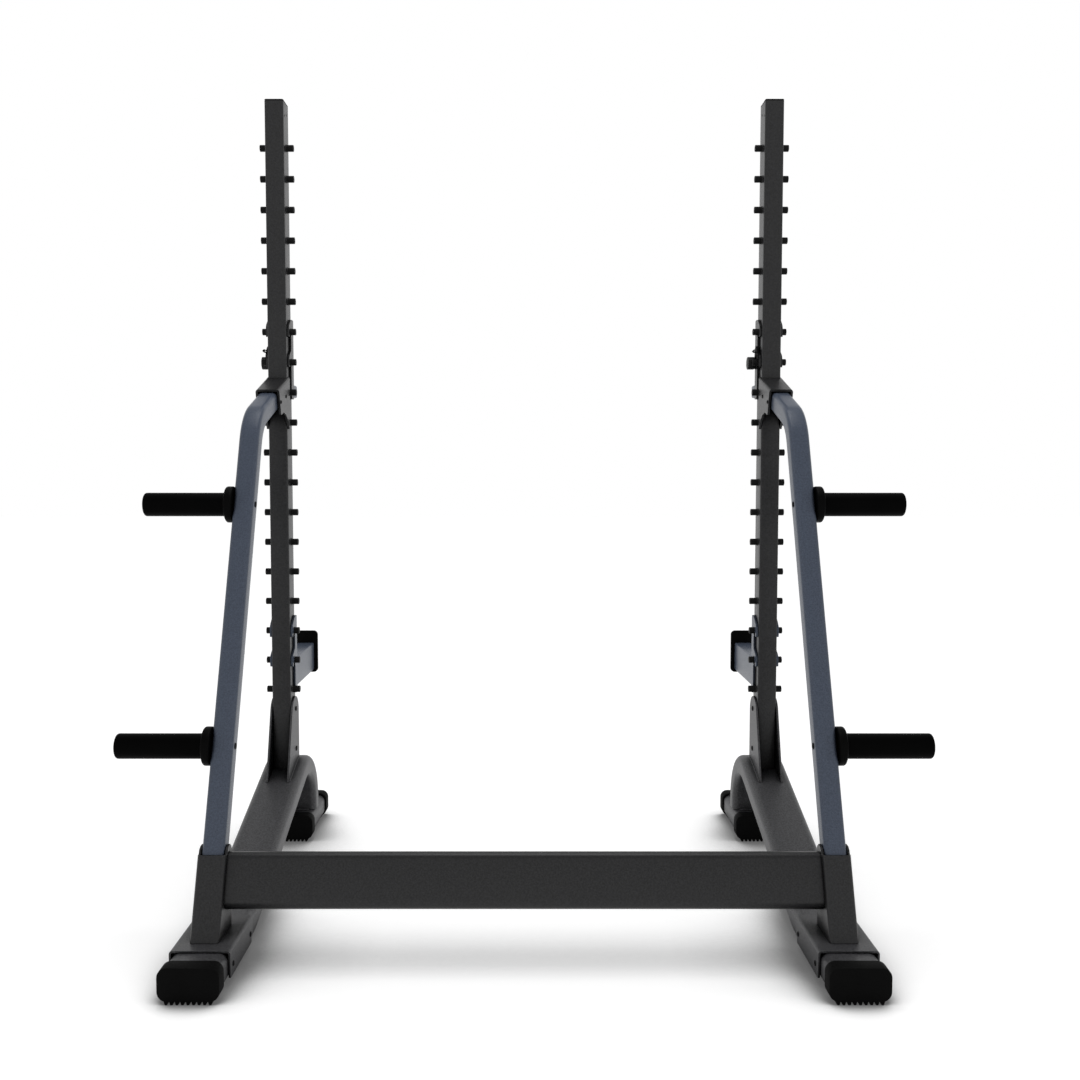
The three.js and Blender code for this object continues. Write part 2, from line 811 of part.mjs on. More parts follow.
function hookOutline({ front, recess, back, top, bottom, firstPeg, topRound, endRound }) {
  const corners = [[back, top, endRound], [recess, top, topRound]];
  for (let tooth = 0; tooth < 2; tooth += 1) {
    const z = pegHeight(firstPeg + tooth);
    if (tooth > 0) {
      corners.push([recess, z + toothRise, toothRound]);
    }
    corners.push([front, z + toothLead, 2 * toothRound]);
    corners.push([front, z - toothDrop, toothRound]);
    corners.push([recess, z - toothDrop, toothRound]);
  }
  corners.push([recess, bottom, endRound], [back, bottom, endRound]);
  return softShape(corners);
}

function pegSlots(firstPeg) {
  const radius = pegRadius + gap;
  const shape = new THREE.Shape();
  shape.absarc(0, 0, radius, 0, Math.PI);
  shape.absarc(0, -slotLength, radius, Math.PI, fullTurn);
  shape.closePath();
  const reach = hookHalfWidth + cutMargin;
  return [0, 1, 2].map((i) => {
    const place = { lean: hookLift, y: pegY, z: pegHeight(firstPeg + i) };
    return alongX(shape, -reach, reach, { ...place, segments: arcSteps });
  });
}

function hookChannel(sizes) {
  const reach = hookHalfWidth + cutMargin;
  const section = channelShape(hookHalfWidth, hookPlate, sizes.back - sizes.front, hookFold);
  const hanging = { lean: Math.PI, y: sizes.back, z: sizes.top };
  const sheet = upLean(section, sizes.top - sizes.bottom, hanging);
  const side = alongX(hookOutline(sizes), -reach, reach);
  return subtractAll(sheet.intersect(side), pegSlots(sizes.firstPeg));
}

function catchBracket() {
  const channel = hookChannel({
    front: pegY - catchLead,
    recess: pegY + catchRecess,
    back: catchBack,
    top: catchTop,
    bottom: catchBottom,
    firstPeg: catchFirstPeg,
    topRound: 2 * toothRound,
    endRound: catchEndRound
  });
  const reach = hookHalfWidth + cutMargin;
  return channel.subtract(drillX(knobShank + gap, -reach, 0, latchPivotY, latchPivotZ));
}

function catchHook() {
  const stemBack = catchBack + gap;
  const stemFace = stemBack + jawStem;
  const lipOuter = jawLipInner + jawLip;
  const jaw = alongX(softShape([
    [stemBack, jawBottom], [lipOuter, jawBottom, 2 * jawRound], [lipOuter, jawLipTop, jawRound / 2],
    [jawLipInner, jawLipTop, jawRound / 2], [jawLipInner, jawFloor, jawRound],
    [stemFace, jawFloor, jawRound], [stemFace, jawTop, jawRound / 2], [stemBack, jawTop]
  ]), -jawHalfWidth, jawHalfWidth);
  const blockHeight = jawFloor - jawBottom;
  const blockShape = roundedRect(2 * jawBlockHalfWidth, blockHeight, jawBlockCorner,
    0, jawBottom + blockHeight / 2);
  return unite([jaw, alongY(blockShape, stemBack, stemBack + jawBlockLength)]);
}

function catchLiner() {
  const rearFace = catchBack + gap + jawStem + gap;
  const floorFace = jawFloor + gap;
  const lipFace = jawLipInner - gap;
  const innerRound = jawRound - linerPlate;
  return alongX(softShape([
    [rearFace, jawTop + linerRise], [rearFace, floorFace, jawRound + linerRound / 2],
    [lipFace, floorFace, jawRound + linerRound / 2], [lipFace, jawLipTop + linerRise],
    [lipFace - linerPlate, jawLipTop + linerRise, linerPlate / 2],
    [lipFace - linerPlate, floorFace + linerPlate, innerRound],
    [rearFace + linerPlate, floorFace + linerPlate, innerRound],
    [rearFace + linerPlate, jawTop + linerRise, linerPlate / 2]
  ]), -linerHalfWidth, linerHalfWidth);
}

// The finger latch lies on the channel's -X side on both catches.

function ringSector(inner, outer, start, end) {
  const shape = new THREE.Shape();
  shape.absarc(0, 0, outer, start, end);
  shape.absarc(0, 0, inner, end, start, true);
  shape.closePath();
  return shape;
}

function latchLever() {
  const innerX = -hookHalfWidth - gap;
  const outerX = innerX - latchPlate;
  const place = { y: latchPivotY, z: latchPivotZ, segments: arcSteps };
  const hub = alongX(circle(latchHub), outerX, innerX, { ...place, segments: 2 * arcSteps });
  const hook = alongX(ringSector(latchHookInner, latchHookOuter, latchHookStart, latchHookEnd),
    outerX, innerX, place);
  const arm = alongX(ringSector(latchHub / 2, latchHookInner + latchPlate, latchArmStart, latchArmEnd),
    outerX, innerX, place);
  const crestZ = latchPivotZ + Math.sqrt(latchHookInner ** 2 - (latchPivotY - pegY) ** 2);
  const root = outerX + latchPlate / 2;
  const tip = -latchTabReach;
  const curlEnd = tip + 2 * latchTabCurl;
  const curlTop = crestZ + 2 * latchTabCurl;
  const tab = alongY(softShape([
    [root, crestZ], [tip, crestZ, latchTabCurl], [tip, curlTop, latchTabCurl],
    [curlEnd, curlTop, latchTabPlate / 2], [curlEnd, curlTop - latchTabPlate],
    [tip + latchTabPlate, curlTop - latchTabPlate, latchTabCurl / 2],
    [tip + latchTabPlate, crestZ + latchTabPlate, latchTabCurl / 2],
    [root, crestZ + latchTabPlate]
  ]), pegY - latchTabWidth / 2, pegY + latchTabWidth / 2);
  const bore = drillX(knobShank + gap, outerX - cutMargin, innerX + cutMargin, latchPivotY, latchPivotZ);
  return unite([hub, hook, arm, tab]).subtract(bore);
}

function latchKnob() {
  const seat = -hookHalfWidth - 2 * gap - latchPlate;
  const shankEnd = gap - hookHalfWidth + hookPlate;
  const tip = -knobReach;
  const knob = turnedX([
    [0, tip], [knobRadius - knobEdge, tip], [knobRadius, tip + knobEdge], [knobRadius, seat - knobEdge / 2],
    [knobRadius - knobEdge / 2, seat], [knobShank, seat], [knobShank, shankEnd], [0, shankEnd]
  ], latchPivotY, latchPivotZ, hornSides);
  const flutes = [];
  for (let i = 0; i < knobFlutes; i += 1) {
    const angle = fullTurn * i / knobFlutes;
    const y = latchPivotY + Math.cos(angle) * (knobRadius + knobFluteRadius / 2);
    const z = latchPivotZ + Math.sin(angle) * (knobRadius + knobFluteRadius / 2);
    flutes.push(rodX(knobFluteRadius, tip + 2 * knobEdge, seat - knobEdge, y, z, fluteSides));
  }
  return subtractAll(knob, flutes);
}

// Spotter arm

function armBracket() {
  return hookChannel({
    front: pegY - armLead,
    recess: pegY + armRecess,
    back: armBack,
    top: armTop,
    bottom: armBottom,
    firstPeg: armFirstPeg,
    topRound: armTopRound,
    endRound: armEndRound
  });
}

function armBeam() {
  const shape = tubeShape(armWidth, armBeamHeight, armBeamCorner, armBeamWall, 0, armBeamMiddle);
  return alongY(shape, armBack + gap, armBeamEnd);
}

function armEndStop() {
  const middle = armBottom + armBeamInset - stopDrop + stopHeight / 2;
  const plate = alongY(roundedRect(stopWidth, stopHeight, stopCorner, 0, middle),
    armBeamEnd + gap, armBeamEnd + gap + stopPlate, stopEdge);
  const inset = 2 * (armBeamWall + gap);
  const plugShape = tubeShape(armWidth - inset, armBeamHeight - inset, armBeamCorner, stopPlugWall,
    0, armBeamMiddle);
  const plug = alongY(plugShape, armBeamEnd - stopPlug, armBeamEnd + stopPlate / 2);
  return unite([plate, plug]);
}

// Assembly

const group = new THREE.Group();
group.name = 'squat_rack';

function add(name, solid, look, offsetX) {
  const moved = solid.translate(offsetX, -overallDepth / 2, 0);
  const mesh = moved.getMesh();
  const geometry = new THREE.BufferGeometry();
  geometry.setAttribute('position', new THREE.BufferAttribute(new Float32Array(mesh.vertProperties), 3));
  geometry.setIndex(new THREE.BufferAttribute(new Uint32Array(mesh.triVerts), 1));
  geometry.computeVertexNormals();
  const node = new THREE.Mesh(geometry, new THREE.MeshStandardMaterial(look));
  node.name = name;
  group.add(node);
}

function addSide(side, outward) {
  const offsetX = outward * frameSpacing / 2;
  const put = (name, solid, look) => add(`${side}_${name}`, solid, look, offsetX);
  const turned = (solid) => (outward > 0 ? solid : solid.mirror([1, 0, 0]));

  put('base_rail', baseRail(), looks.greyPaint);
  put('front_foot_cap', footCap(0, 1), looks.rubber);
  put('rear_foot_tube', rearFootTube(), looks.greyPaint);
  put('rear_foot_cap_near', footCap(rearFootFrontY, 1), looks.rubber);
  put('rear_foot_cap_far', footCap(overallDepth, -1), looks.rubber);
  put('front_saddle', frontSaddle(), looks.greyPaint);
  put('brace_socket', braceSocket().translate(outward * braceOffset, 0, 0), looks.blackPaint);
  put('brace_tube', braceTube().translate(outward * braceOffset, 0, 0), looks.bluePaint);
  put('upper_bracket', upperBracket(), looks.blackPaint);
  put('upright', drilledUpright(-outward), looks.blackPaint);
  put('upright_top_cap', uprightTopCap(), looks.plastic);

  const plateInner = uprightWidth / 2 + gap;
  const plateOuter = plateInner + gussetPlate;
  const innerPlate = outward > 0 ? gusset(-plateOuter, -plateInner) : gusset(plateInner, plateOuter);
  const outerPlate = outward > 0 ? gusset(plateInner, plateOuter) : gusset(-plateOuter, -plateInner);
  put('foot_plate_inner', innerPlate, looks.greyPaint);
  put('foot_plate_outer', outerPlate, looks.greyPaint);

  ['upper', 'lower'].forEach((level, i) => {
    put(`foot_bolt_${level}`, gussetBolt(gussetHoleHeights[i]), looks.steel);
    put(`horn_${level}`, turned(horn(hornHeights[i])), looks.plastic);
    put(`horn_${level}_collar`, turned(hornCollar(hornHeights[i])), looks.plastic);
    put(`horn_${level}_bolt`, turned(hornBolt(hornHeights[i])), looks.steel);
  });

  put('catch_bracket', catchBracket(), looks.blackPaint);
  put('catch_hook', catchHook(), looks.bluePaint);
  put('catch_liner', catchLiner(), looks.plastic);
  put('latch_lever', latchLever(), looks.steel);
  put('latch_knob', latchKnob(), looks.plastic);

  put('arm_bracket', armBracket(), looks.bluePaint);
  put('arm_beam', armBeam(), looks.bluePaint);
  put('arm_end_stop', armEndStop(), looks.plastic);
}

addSide('left', -1);
addSide('right', 1);
add('cross_beam', crossBeam(), looks.blackPaint, 0);

export default group;
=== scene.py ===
import json
import math

import bmesh
import bpy
from mathutils import Matrix, Vector


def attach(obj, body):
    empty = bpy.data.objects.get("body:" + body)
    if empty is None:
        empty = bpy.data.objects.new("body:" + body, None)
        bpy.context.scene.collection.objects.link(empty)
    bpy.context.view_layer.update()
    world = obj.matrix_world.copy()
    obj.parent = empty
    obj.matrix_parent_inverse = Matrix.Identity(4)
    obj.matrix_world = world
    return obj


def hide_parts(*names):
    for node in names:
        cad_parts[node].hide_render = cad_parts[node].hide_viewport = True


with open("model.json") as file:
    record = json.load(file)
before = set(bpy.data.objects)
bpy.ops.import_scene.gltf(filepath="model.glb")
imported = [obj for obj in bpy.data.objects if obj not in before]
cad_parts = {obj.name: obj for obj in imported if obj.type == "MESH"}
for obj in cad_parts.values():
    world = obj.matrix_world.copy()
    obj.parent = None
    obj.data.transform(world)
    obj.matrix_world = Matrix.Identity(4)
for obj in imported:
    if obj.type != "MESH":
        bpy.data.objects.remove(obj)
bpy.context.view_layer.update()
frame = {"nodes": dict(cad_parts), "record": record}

# Driving sizes, in millimetres. Y counts from the face of the front foot and X from the
# middle plane of a side frame, as in the CAD source.
MM = 0.001
QUARTER = math.pi / 2
PREFIXES = {-1: "left_", 0: "", 1: "right_"}
HALF_DEPTH = 568.5
HALF_SPACING = 600.0
GAP = 0.3
OVERRUN = 5
CUT = 40

# Base rails and rear feet
RAIL_WIDTH, RAIL_HEIGHT, RAIL_CORNER, RAIL_WALL = 104, 54, 16, 3
RAIL_MIDDLE = 35
RAIL_TOP = RAIL_MIDDLE + RAIL_HEIGHT / 2
RAIL_BEND_Y, LEG_Y = 300.3, 995
RAIL_SLOPE = math.radians(16.25)
RAIL_BEND_RADII = [150, 115]

# Foot caps, and the ribs under them
REAR_CAP_Y = 897
CAP_WIDTH, CAP_TOP, CAP_CORNER = 112.4, 67.5, 18
CAP_LENGTH, CAP_END, CAP_EDGE = 36, 6, 2.4
CAP_CLEARANCE = 5.8
RIB_COUNT, RIB_PITCH, RIB_TOP, RIB_INSET = 9, 9.9, 7.2, 1.6
RIB_TIP_HALF, RIB_ROOT_HALF, RIB_ROUND = 2.2, 4.2, 1.2

# Front saddle
SADDLE_HALF, SADDLE_PLATE, SADDLE_FOLD = 57, 4, 6.5
SADDLE_START, SADDLE_END = 77, 250
SADDLE_TOP, SADDLE_LOW = 66.4, 14.5
SADDLE_STEP_Y, SADDLE_STEP_Z = 239, 25.5
SADDLE_HOLE, SADDLE_HOLE_YS = 4.5, (97, 230)

# Brace, its socket and its upper bracket
BRACE_WIDTH, BRACE_DEPTH, BRACE_CORNER, BRACE_WALL = 43.3, 44, 10, 2.5
BRACE_FOOT_Y, BRACE_FOOT_Z = 142.5, 78
BRACE_KNEE_Y, BRACE_KNEE_Z = 555, 1061.9
BRACE_END_Y = 800
BRACE_KNEE_RADIUS = 112
BRACE_LEAN = math.atan2(BRACE_KNEE_Y - BRACE_FOOT_Y, BRACE_KNEE_Z - BRACE_FOOT_Z)
BRACE_TOP_SLOPE = math.radians(18)
BRACE_OFFSET = 1.0
SOCKET_HALF, SOCKET_PLATE, SOCKET_FOLD = 27.7, 4.8, 7
SOCKET_BOTTOM, SOCKET_DEPTH = SADDLE_TOP + GAP, 111
SOCKET_BACK_RISE, SOCKET_FRONT_RISE = 159, 147.2
SOCKET_BACK_SHARES = [(0.863, 0), (0.881, 0.19), (0.998, 0.88), (0.956, 0.955), (0.874, 1),
                      (0.755, 0.994), (0.69, 0.965), (0.655, 0.924)]
BRACKET_PLATE, BRACKET_FOLD = 5, 7
BRACKET_FRONT_Y, BRACKET_REACH, BRACKET_DROP = 699.5, 122.5, 120
BRACKET_RAISE = 8.7
BRACKET_FRONT_Z = (BRACE_KNEE_Z + (BRACKET_FRONT_Y - BRACE_KNEE_Y) * math.tan(BRACE_TOP_SLOPE)
                   + BRACKET_RAISE + BRACE_DEPTH / 2 / math.cos(BRACE_TOP_SLOPE))
BRACKET_HOLE, BRACKET_HOLES = 4, ((76.1, 11.4), (17.9, 28))
BRACKET_SIDE_SHARES = [(0, 0), (-0.115, 0.41), (-0.08, 0.462), (0.02, 0.482), (0.2, 0.478),
                       (0.41, 0.424), (0.62, 0.465), (0.8, 0.57), (0.91, 0.685), (0.95, 0.732),
                       (1, 0.735)]

# Cross beam
BEAM_DEPTH, BEAM_HEIGHT, BEAM_CORNER, BEAM_WALL = 55, 106.9, 16, 2.5
BEAM_RISE, BEAM_SETBACK = 53.4, 14.6
BEAM_HOLE, BEAM_HOLE_X = 5, 65

# Uprights and their pegs
UPRIGHT_WIDTH, UPRIGHT_DEPTH, UPRIGHT_CORNER, UPRIGHT_WALL = 45.3, 60, 4, 3
UPRIGHT_START, UPRIGHT_END = 192.3, 1836.0
PEG_Y = 840.0
UPRIGHT_FRONT, UPRIGHT_BACK = PEG_Y - UPRIGHT_DEPTH / 2, PEG_Y + UPRIGHT_DEPTH / 2
PEG_TOP, PEG_PITCH, PEG_COUNT = 1731.26, 73.518, 19
PEG_RADIUS, PEG_ROOT_X, PEG_TIP_X = 8, 20, 40.6
PEG_WELD_RADIUS, PEG_WELD_X, PEG_WELD_END_X = 9.6, 22.2, 25
LOCK_HOLE, LOCK_HOLES, LOCK_DRILL = 3, ((15, 31), (38, 24)), (10, 30)
TOP_CAP_THICKNESS, TOP_CAP_EDGE = 3.7, 1.6

# Gusset plates at the uprights' feet, and their bolts
GUSSET_IN = UPRIGHT_WIDTH / 2 + GAP
GUSSET_OUT = GUSSET_IN + 4.6
GUSSET_TOP = UPRIGHT_START + 195.7
GUSSET_ROUND, GUSSET_MIDDLE_Y, GUSSET_REACH = 40, 845, 61
GUSSET_BOLT_Y, GUSSET_BOLT_RISES, GUSSET_HOLE = 847, {"upper": 164.7, "lower": 63.7}, 5.3

# Plate horns and their collars
HORN_HEIGHTS = {"upper": 879.0, "lower": 401.0}
HORN_RADIUS, HORN_BORE, HORN_EYE, HORN_END_X = 25.3, 6.3, 0.5, 216.5
HORN_WALL, HORN_BASE = 3, 6
COLLAR_RADIUS, COLLAR_END_X = 39, 40.5

# Hooked channels of the catches and of the spotter arms
HOOK_HALF, HOOK_PLATE, HOOK_FOLD = 28.2, 5, 7
TOOTH_TOP, TOOTH_LOW, TOOTH_GAP, TOOTH_ROUND, TOOTH_NOSE = 12.5, 14, 29, 5, 10
SLOT_RUN, SLOT_LEAN = 62, math.radians(30)
CATCH_HOOKS = {"first": 6, "lead": 21, "recess": 4, "clearance": 7, "above": 31.2,
               "below": 15.7, "top_round": 10, "end_round": 15}
ARM_HOOKS = {"first": 16, "lead": 24, "recess": 6, "clearance": 5.5, "above": 35.5,
             "below": 12.5, "top_round": 22, "end_round": 13}

# J hook of the catch, its corner block and its liner
JAW_PLATE, JAW_OPENING, JAW_HALF = 10, 63.7, 9
JAW_RAISE, JAW_FLOOR, JAW_TOP_INSET = 7.1, 30.5, 6.4
JAW_LIP, JAW_LIP_HEIGHT = 14, 67
JAW_OUT_ROUND, JAW_IN_ROUND, JAW_END_ROUND = 28, 14, 7
BLOCK_WIDTH, BLOCK_LENGTH, BLOCK_CORNER, BLOCK_EDGE = 50, 46.7, 4, 1.2
LINER_HALF, LINER_THICK, LINER_PAST = 11.4, 6, 3
LINER_OUT_ROUND, LINER_IN_ROUND, LINER_END_ROUND = 14.5, 8, 3

# Latch
LATCH_Y, LATCH_PEG, LATCH_HOLE, LATCH_SHANK = 866, 7, 4.3, 4
KNOB_RADIUS, KNOB_FLUTE, KNOB_FLUTES, KNOB_EDGE = 15.5, 0.9, 8, 0.8
KNOB_OUT_X, KNOB_IN_X, LATCH_SHANK_END_X, KNOB_POINTS = -48, -31.8, -22.9, 96

# Spotter arm
ARM_WIDTH, ARM_HEIGHT, ARM_CORNER, ARM_WALL = 45, 74.5, 4, 3
ARM_RAISE, ARM_END_Y = 10.1, 1127
STOP_WIDTH, STOP_HEIGHT, STOP_CORNER, STOP_EDGE = 65, 114, 11, 1.2
STOP_DROP, STOP_THICKNESS = 6.5, 9


def peg_height(i):
    return PEG_TOP - PEG_PITCH * i


def horn_y(z):
    return BRACE_FOOT_Y + (z - BRACE_FOOT_Z) * math.tan(BRACE_LEAN)


# Outlines, as lists of points

def arc(cx, cy, radius, start, end, steps):
    return [(cx + radius * math.cos(start + (end - start) * i / steps),
             cy + radius * math.sin(start + (end - start) * i / steps))
            for i in range(steps + 1)]


def rounded_rect(width, height, radius, cx=0.0, cy=0.0, steps=7):
    x, y = width / 2 - radius, height / 2 - radius
    points = []
    for k, (sx, sy) in enumerate(((1, 1), (-1, 1), (-1, -1), (1, -1))):
        points += arc(cx + sx * x, cy + sy * y, radius, k * QUARTER, (k + 1) * QUARTER, steps)
    return points


def circle(radius, sides):
    return arc(0, 0, radius, 0, 4 * QUARTER, sides)[:-1]


def rounded_corner(before, here, after, reach, steps):
    """Points of a curve from one side of a corner to the other."""
    a = here + (before - here).normalized() * min(reach, (before - here).length / 2)
    b = here + (after - here).normalized() * min(reach, (after - here).length / 2)
    return [tuple(a * (1 - t) ** 2 + here * 2 * t * (1 - t) + b * t ** 2)
            for t in (k / steps for k in range(steps + 1))]


def soft(corners, steps=6):
    """A polygon whose corners are (x, y) or (x, y, rounding)."""
    points = []
    for i, corner in enumerate(corners):
        here = Vector(corner[:2])
        before = Vector(corners[i - 1][:2])
        after = Vector(corners[(i + 1) % len(corners)][:2])
        if len(corner) > 2:
            points += rounded_corner(before, here, after, corner[2], steps)
        else:
            points.append(tuple(here))
    same = 1e-4
    return [p for i, p in enumerate(points) if (Vector(p) - Vector(points[i - 1])).length > same]


def channel(half, plate, depth, fold, steps=6):
    """The section of a folded sheet: a back with a wall on either side."""
    inner, bend = half - plate, fold - plate
    points = [(half, depth), (inner, depth)]
    points += arc(inner - bend, plate + bend, bend, 0, -QUARTER, steps)
    points += arc(bend - inner, plate + bend, bend, -QUARTER, -2 * QUARTER, steps)
    points += [(-inner, depth), (-half, depth)]
    points += arc(fold - half, fold, fold, 2 * QUARTER, 3 * QUARTER, steps)
    points += arc(half - fold, fold, fold, 3 * QUARTER, 4 * QUARTER, steps)
    return points


# Meshes. Each maker returns a bmesh in the millimetres of one side frame.

def lean_axes(lean):
    return (Vector((1, 0, 0)), Vector((0, math.cos(lean), -math.sin(lean))),
            Vector((0, math.sin(lean), math.cos(lean))))


def rings_to_mesh(rings, closed=False):
    """Joins rings of equal length, one after another, into a skin."""
    bm = bmesh.new()
    made = [[bm.verts.new(p) for p in ring] for ring in rings]
    pairs = list(zip(made, made[1:]))
    if closed:
        pairs.append((made[-1], made[0]))
    for a, b in pairs:
        for i in range(len(a)):
            j = (i + 1) % len(a)
            bm.faces.new((a[i], a[j], b[j], b[i]))
    if not closed:
        bm.faces.new(list(reversed(made[0])))
        bm.faces.new(made[-1])
    bmesh.ops.recalc_face_normals(bm, faces=bm.faces)
    return bm


def prism(outline, length, u, v, w, origin, edge=0.0, edge_steps=3):
    """Outline in u and v, extruded along w, with its rim eased by edge."""
    origin = Vector(origin)

    def ring(points, height):
        return [origin + u * x + v * y + w * height for x, y in points]

    if edge <= 0:
        return rings_to_mesh([ring(outline, 0), ring(outline, length)])
    cx = sum(p[0] for p in outline) / len(outline)
    cy = sum(p[1] for p in outline) / len(outline)
    half_x = max(abs(p[0] - cx) for p in outline)
    half_y = max(abs(p[1] - cy) for p in outline)
    rings = []
    for k in range(edge_steps + 1):
        angle = QUARTER * k / edge_steps
        inset, height = edge * (1 - math.sin(angle)), edge * (1 - math.cos(angle))
        shrunk = [(cx + (x - cx) * (1 - inset / half_x), cy + (y - cy) * (1 - inset / half_y))
                  for x, y in outline]
        rings.append((shrunk, height))
    stack = [ring(p, h) for p, h in rings] + [ring(p, length - h) for p, h in reversed(rings)]
    return rings_to_mesh(stack)


def along_x(outline, x0, x1, lean=0.0, y=0.0, z=0.0, edge=0.0):
    u, v, w = lean_axes(lean)
    return prism(outline, x1 - x0, v, w, u, (x0, y, z), edge)


def along_y(outline, y0, y1, edge=0.0):
    return prism(outline, y1 - y0, Vector((1, 0, 0)), Vector((0, 0, 1)), Vector((0, 1, 0)),
                 (0, y0, 0), edge)


def up_lean(outline, length, lean=0.0, y=0.0, z=0.0, edge=0.0):
    u, v, w = lean_axes(lean)
    return prism(outline, length, u, v, w, (0, y, z), edge)


def on_axis(point):
    return point[0] < 1e-6


def turned(profile, y, z, sides):
    """A turned piece about a line along X, from (radius, x) all the way round."""
    bm = bmesh.new()
    rings = []
    for radius, x in profile:
        if on_axis((radius, x)):
            rings.append([bm.verts.new((x, y, z))])
        else:
            rings.append([bm.verts.new((x, y + radius * math.cos(4 * QUARTER * i / sides),
                                        z + radius * math.sin(4 * QUARTER * i / sides)))
                          for i in range(sides)])
    pairs = list(zip(rings, rings[1:]))
    if not on_axis(profile[0]) and not on_axis(profile[-1]):
        pairs.append((rings[-1], rings[0]))
    for a, b in pairs:
        for i in range(sides):
            j = (i + 1) % sides
            loop = [a[i % len(a)], a[j % len(a)], b[j % len(b)], b[i % len(b)]]
            unique = list(dict.fromkeys(loop))
            if len(unique) > 2:
                bm.faces.new(unique)
    bmesh.ops.recalc_face_normals(bm, faces=bm.faces)
    return bm


def eased(profile, radius, steps=3):
    """A turned profile with each corner rounded, apart from those on the axis.

    A run is at least least_run times as long as what a rounding takes of it.
    """
    least_run = 2.2
    points = []
    last = len(profile) - 1
    ring = not on_axis(profile[0]) and not on_axis(profile[-1])
    for i, p in enumerate(profile):
        if not ring and i in (0, last):
            points.append(p)
            continue
        here, before = Vector(p), Vector(profile[i - 1])
        after = Vector(profile[(i + 1) % (last + 1)])
        reach = min(radius, (before - here).length / least_run,
                    (after - here).length / least_run)
        points += rounded_corner(before, here, after, reach, steps)
    return points


def bent_line(corners, radii, step=math.radians(5)):
    """Stations (point, tangent) in depth and height: straight runs joined by arcs."""
    corners = [Vector(c) for c in corners]
    stations = [(corners[0], (corners[1] - corners[0]).normalized())]
    for i, radius in enumerate(radii, start=1):
        before = (corners[i] - corners[i - 1]).normalized()
        after = (corners[i + 1] - corners[i]).normalized()
        turn = math.atan2(before.x * after.y - before.y * after.x, before.dot(after))
        reach = radius * math.tan(abs(turn) / 2)
        inward = Vector((-before.y, before.x)) * math.copysign(radius, turn)
        centre = corners[i] - before * reach + inward
        count = math.ceil(abs(turn) / step)
        for k in range(count + 1):
            spin = Matrix.Rotation(turn * k / count, 2)
            stations.append((centre + spin @ -inward, spin @ before))
    stations.append((corners[-1], (corners[-1] - corners[-2]).normalized()))
    return stations


def straight(y0, y1, z):
    return [(Vector((y0, z)), Vector((1, 0))), (Vector((y1, z)), Vector((1, 0)))]


def station_ring(outline, station):
    point, tangent = station
    up = Vector((0, -tangent.y, tangent.x))
    return [Vector((x, point.x, point.y)) + up * y for x, y in outline]


def swept_tube(stations, width, height, corner, wall, steps=7):
    outer = rounded_rect(width, height, corner, steps=steps)
    inner = rounded_rect(width - 2 * wall, height - 2 * wall, max(corner - wall, wall / 2),
                         steps=steps)
    rings = [station_ring(outer, s) for s in stations]
    rings += [station_ring(inner, s) for s in reversed(stations)]
    return rings_to_mesh(rings, closed=True)


def drill(radius, x0, x1, y, z, sides=24):
    return turned([(0, x0), (radius, x0), (radius, x1), (0, x1)], y, z, sides)


def flipped(bm):
    bmesh.ops.scale(bm, vec=(-1, 1, 1), verts=bm.verts)
    bmesh.ops.reverse_faces(bm, faces=bm.faces)
    return bm


def moved(bm, y, z, flip=False):
    if flip:
        flipped(bm)
    bmesh.ops.translate(bm, vec=(0, y, z), verts=bm.verts)
    return bm


def new_object(name, data):
    obj = bpy.data.objects.new(name, data)
    bpy.context.scene.collection.objects.link(obj)
    return obj


def joined(parts):
    whole = bmesh.new()
    for bm in parts:
        mesh = bpy.data.meshes.new("part")
        bm.to_mesh(mesh)
        whole.from_mesh(mesh)
        bpy.data.meshes.remove(mesh)
        bm.free()
    return whole


def carve(base, tools, operation="DIFFERENCE"):
    """Cuts the tools out of base, or keeps what base shares with the one tool."""
    objects = []
    for bm in [base, joined(tools)]:
        mesh = bpy.data.meshes.new("carve")
        bm.to_mesh(mesh)
        bm.free()
        objects.append(new_object("carve", mesh))
    modifier = objects[0].modifiers.new("cut", "BOOLEAN")
    modifier.operation = operation
    modifier.solver = "EXACT"
    modifier.use_self = True
    modifier.object = objects[1]
    shape = objects[0].evaluated_get(bpy.context.evaluated_depsgraph_get())
    result = bmesh.new()
    result.from_mesh(shape.to_mesh())
    shape.to_mesh_clear()
    for obj in objects:
        mesh = obj.data
        bpy.data.objects.remove(obj)
        bpy.data.meshes.remove(mesh)
    bmesh.ops.remove_doubles(result, verts=result.verts, dist=0.01)
    return result


def trimmed(sheet, corners, half=CUT):
    """Keeps the part of a folded sheet that lies within an outline seen from the side."""
    return carve(sheet, [along_x(soft(corners), -half, half)], "INTERSECT")


def place(name, bm, side, material, body="frame", node=None, mirror=False, bevel=0.0, angle=35,
          shift=0.0):
    """Puts a mesh on its side of the rack, on its body and in the place of its CAD node."""
    prefix, slot = PREFIXES[side], SLOT_OF[material.name]
    if mirror:
        flipped(bm)
    for vert in bm.verts:
        x, y, z = vert.co
        vert.co = ((x + shift + side * HALF_SPACING) * MM, (y - HALF_DEPTH) * MM, z * MM)
    mesh = bpy.data.meshes.new(prefix + name)
    bm.to_mesh(mesh)
    bm.free()
    obj = new_object(prefix + name, mesh)
    mesh.materials.append(material)
    soften(obj, bevel, angle)
    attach(obj, body)
    if node:
        node = prefix + node
        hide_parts(node)
    return obj


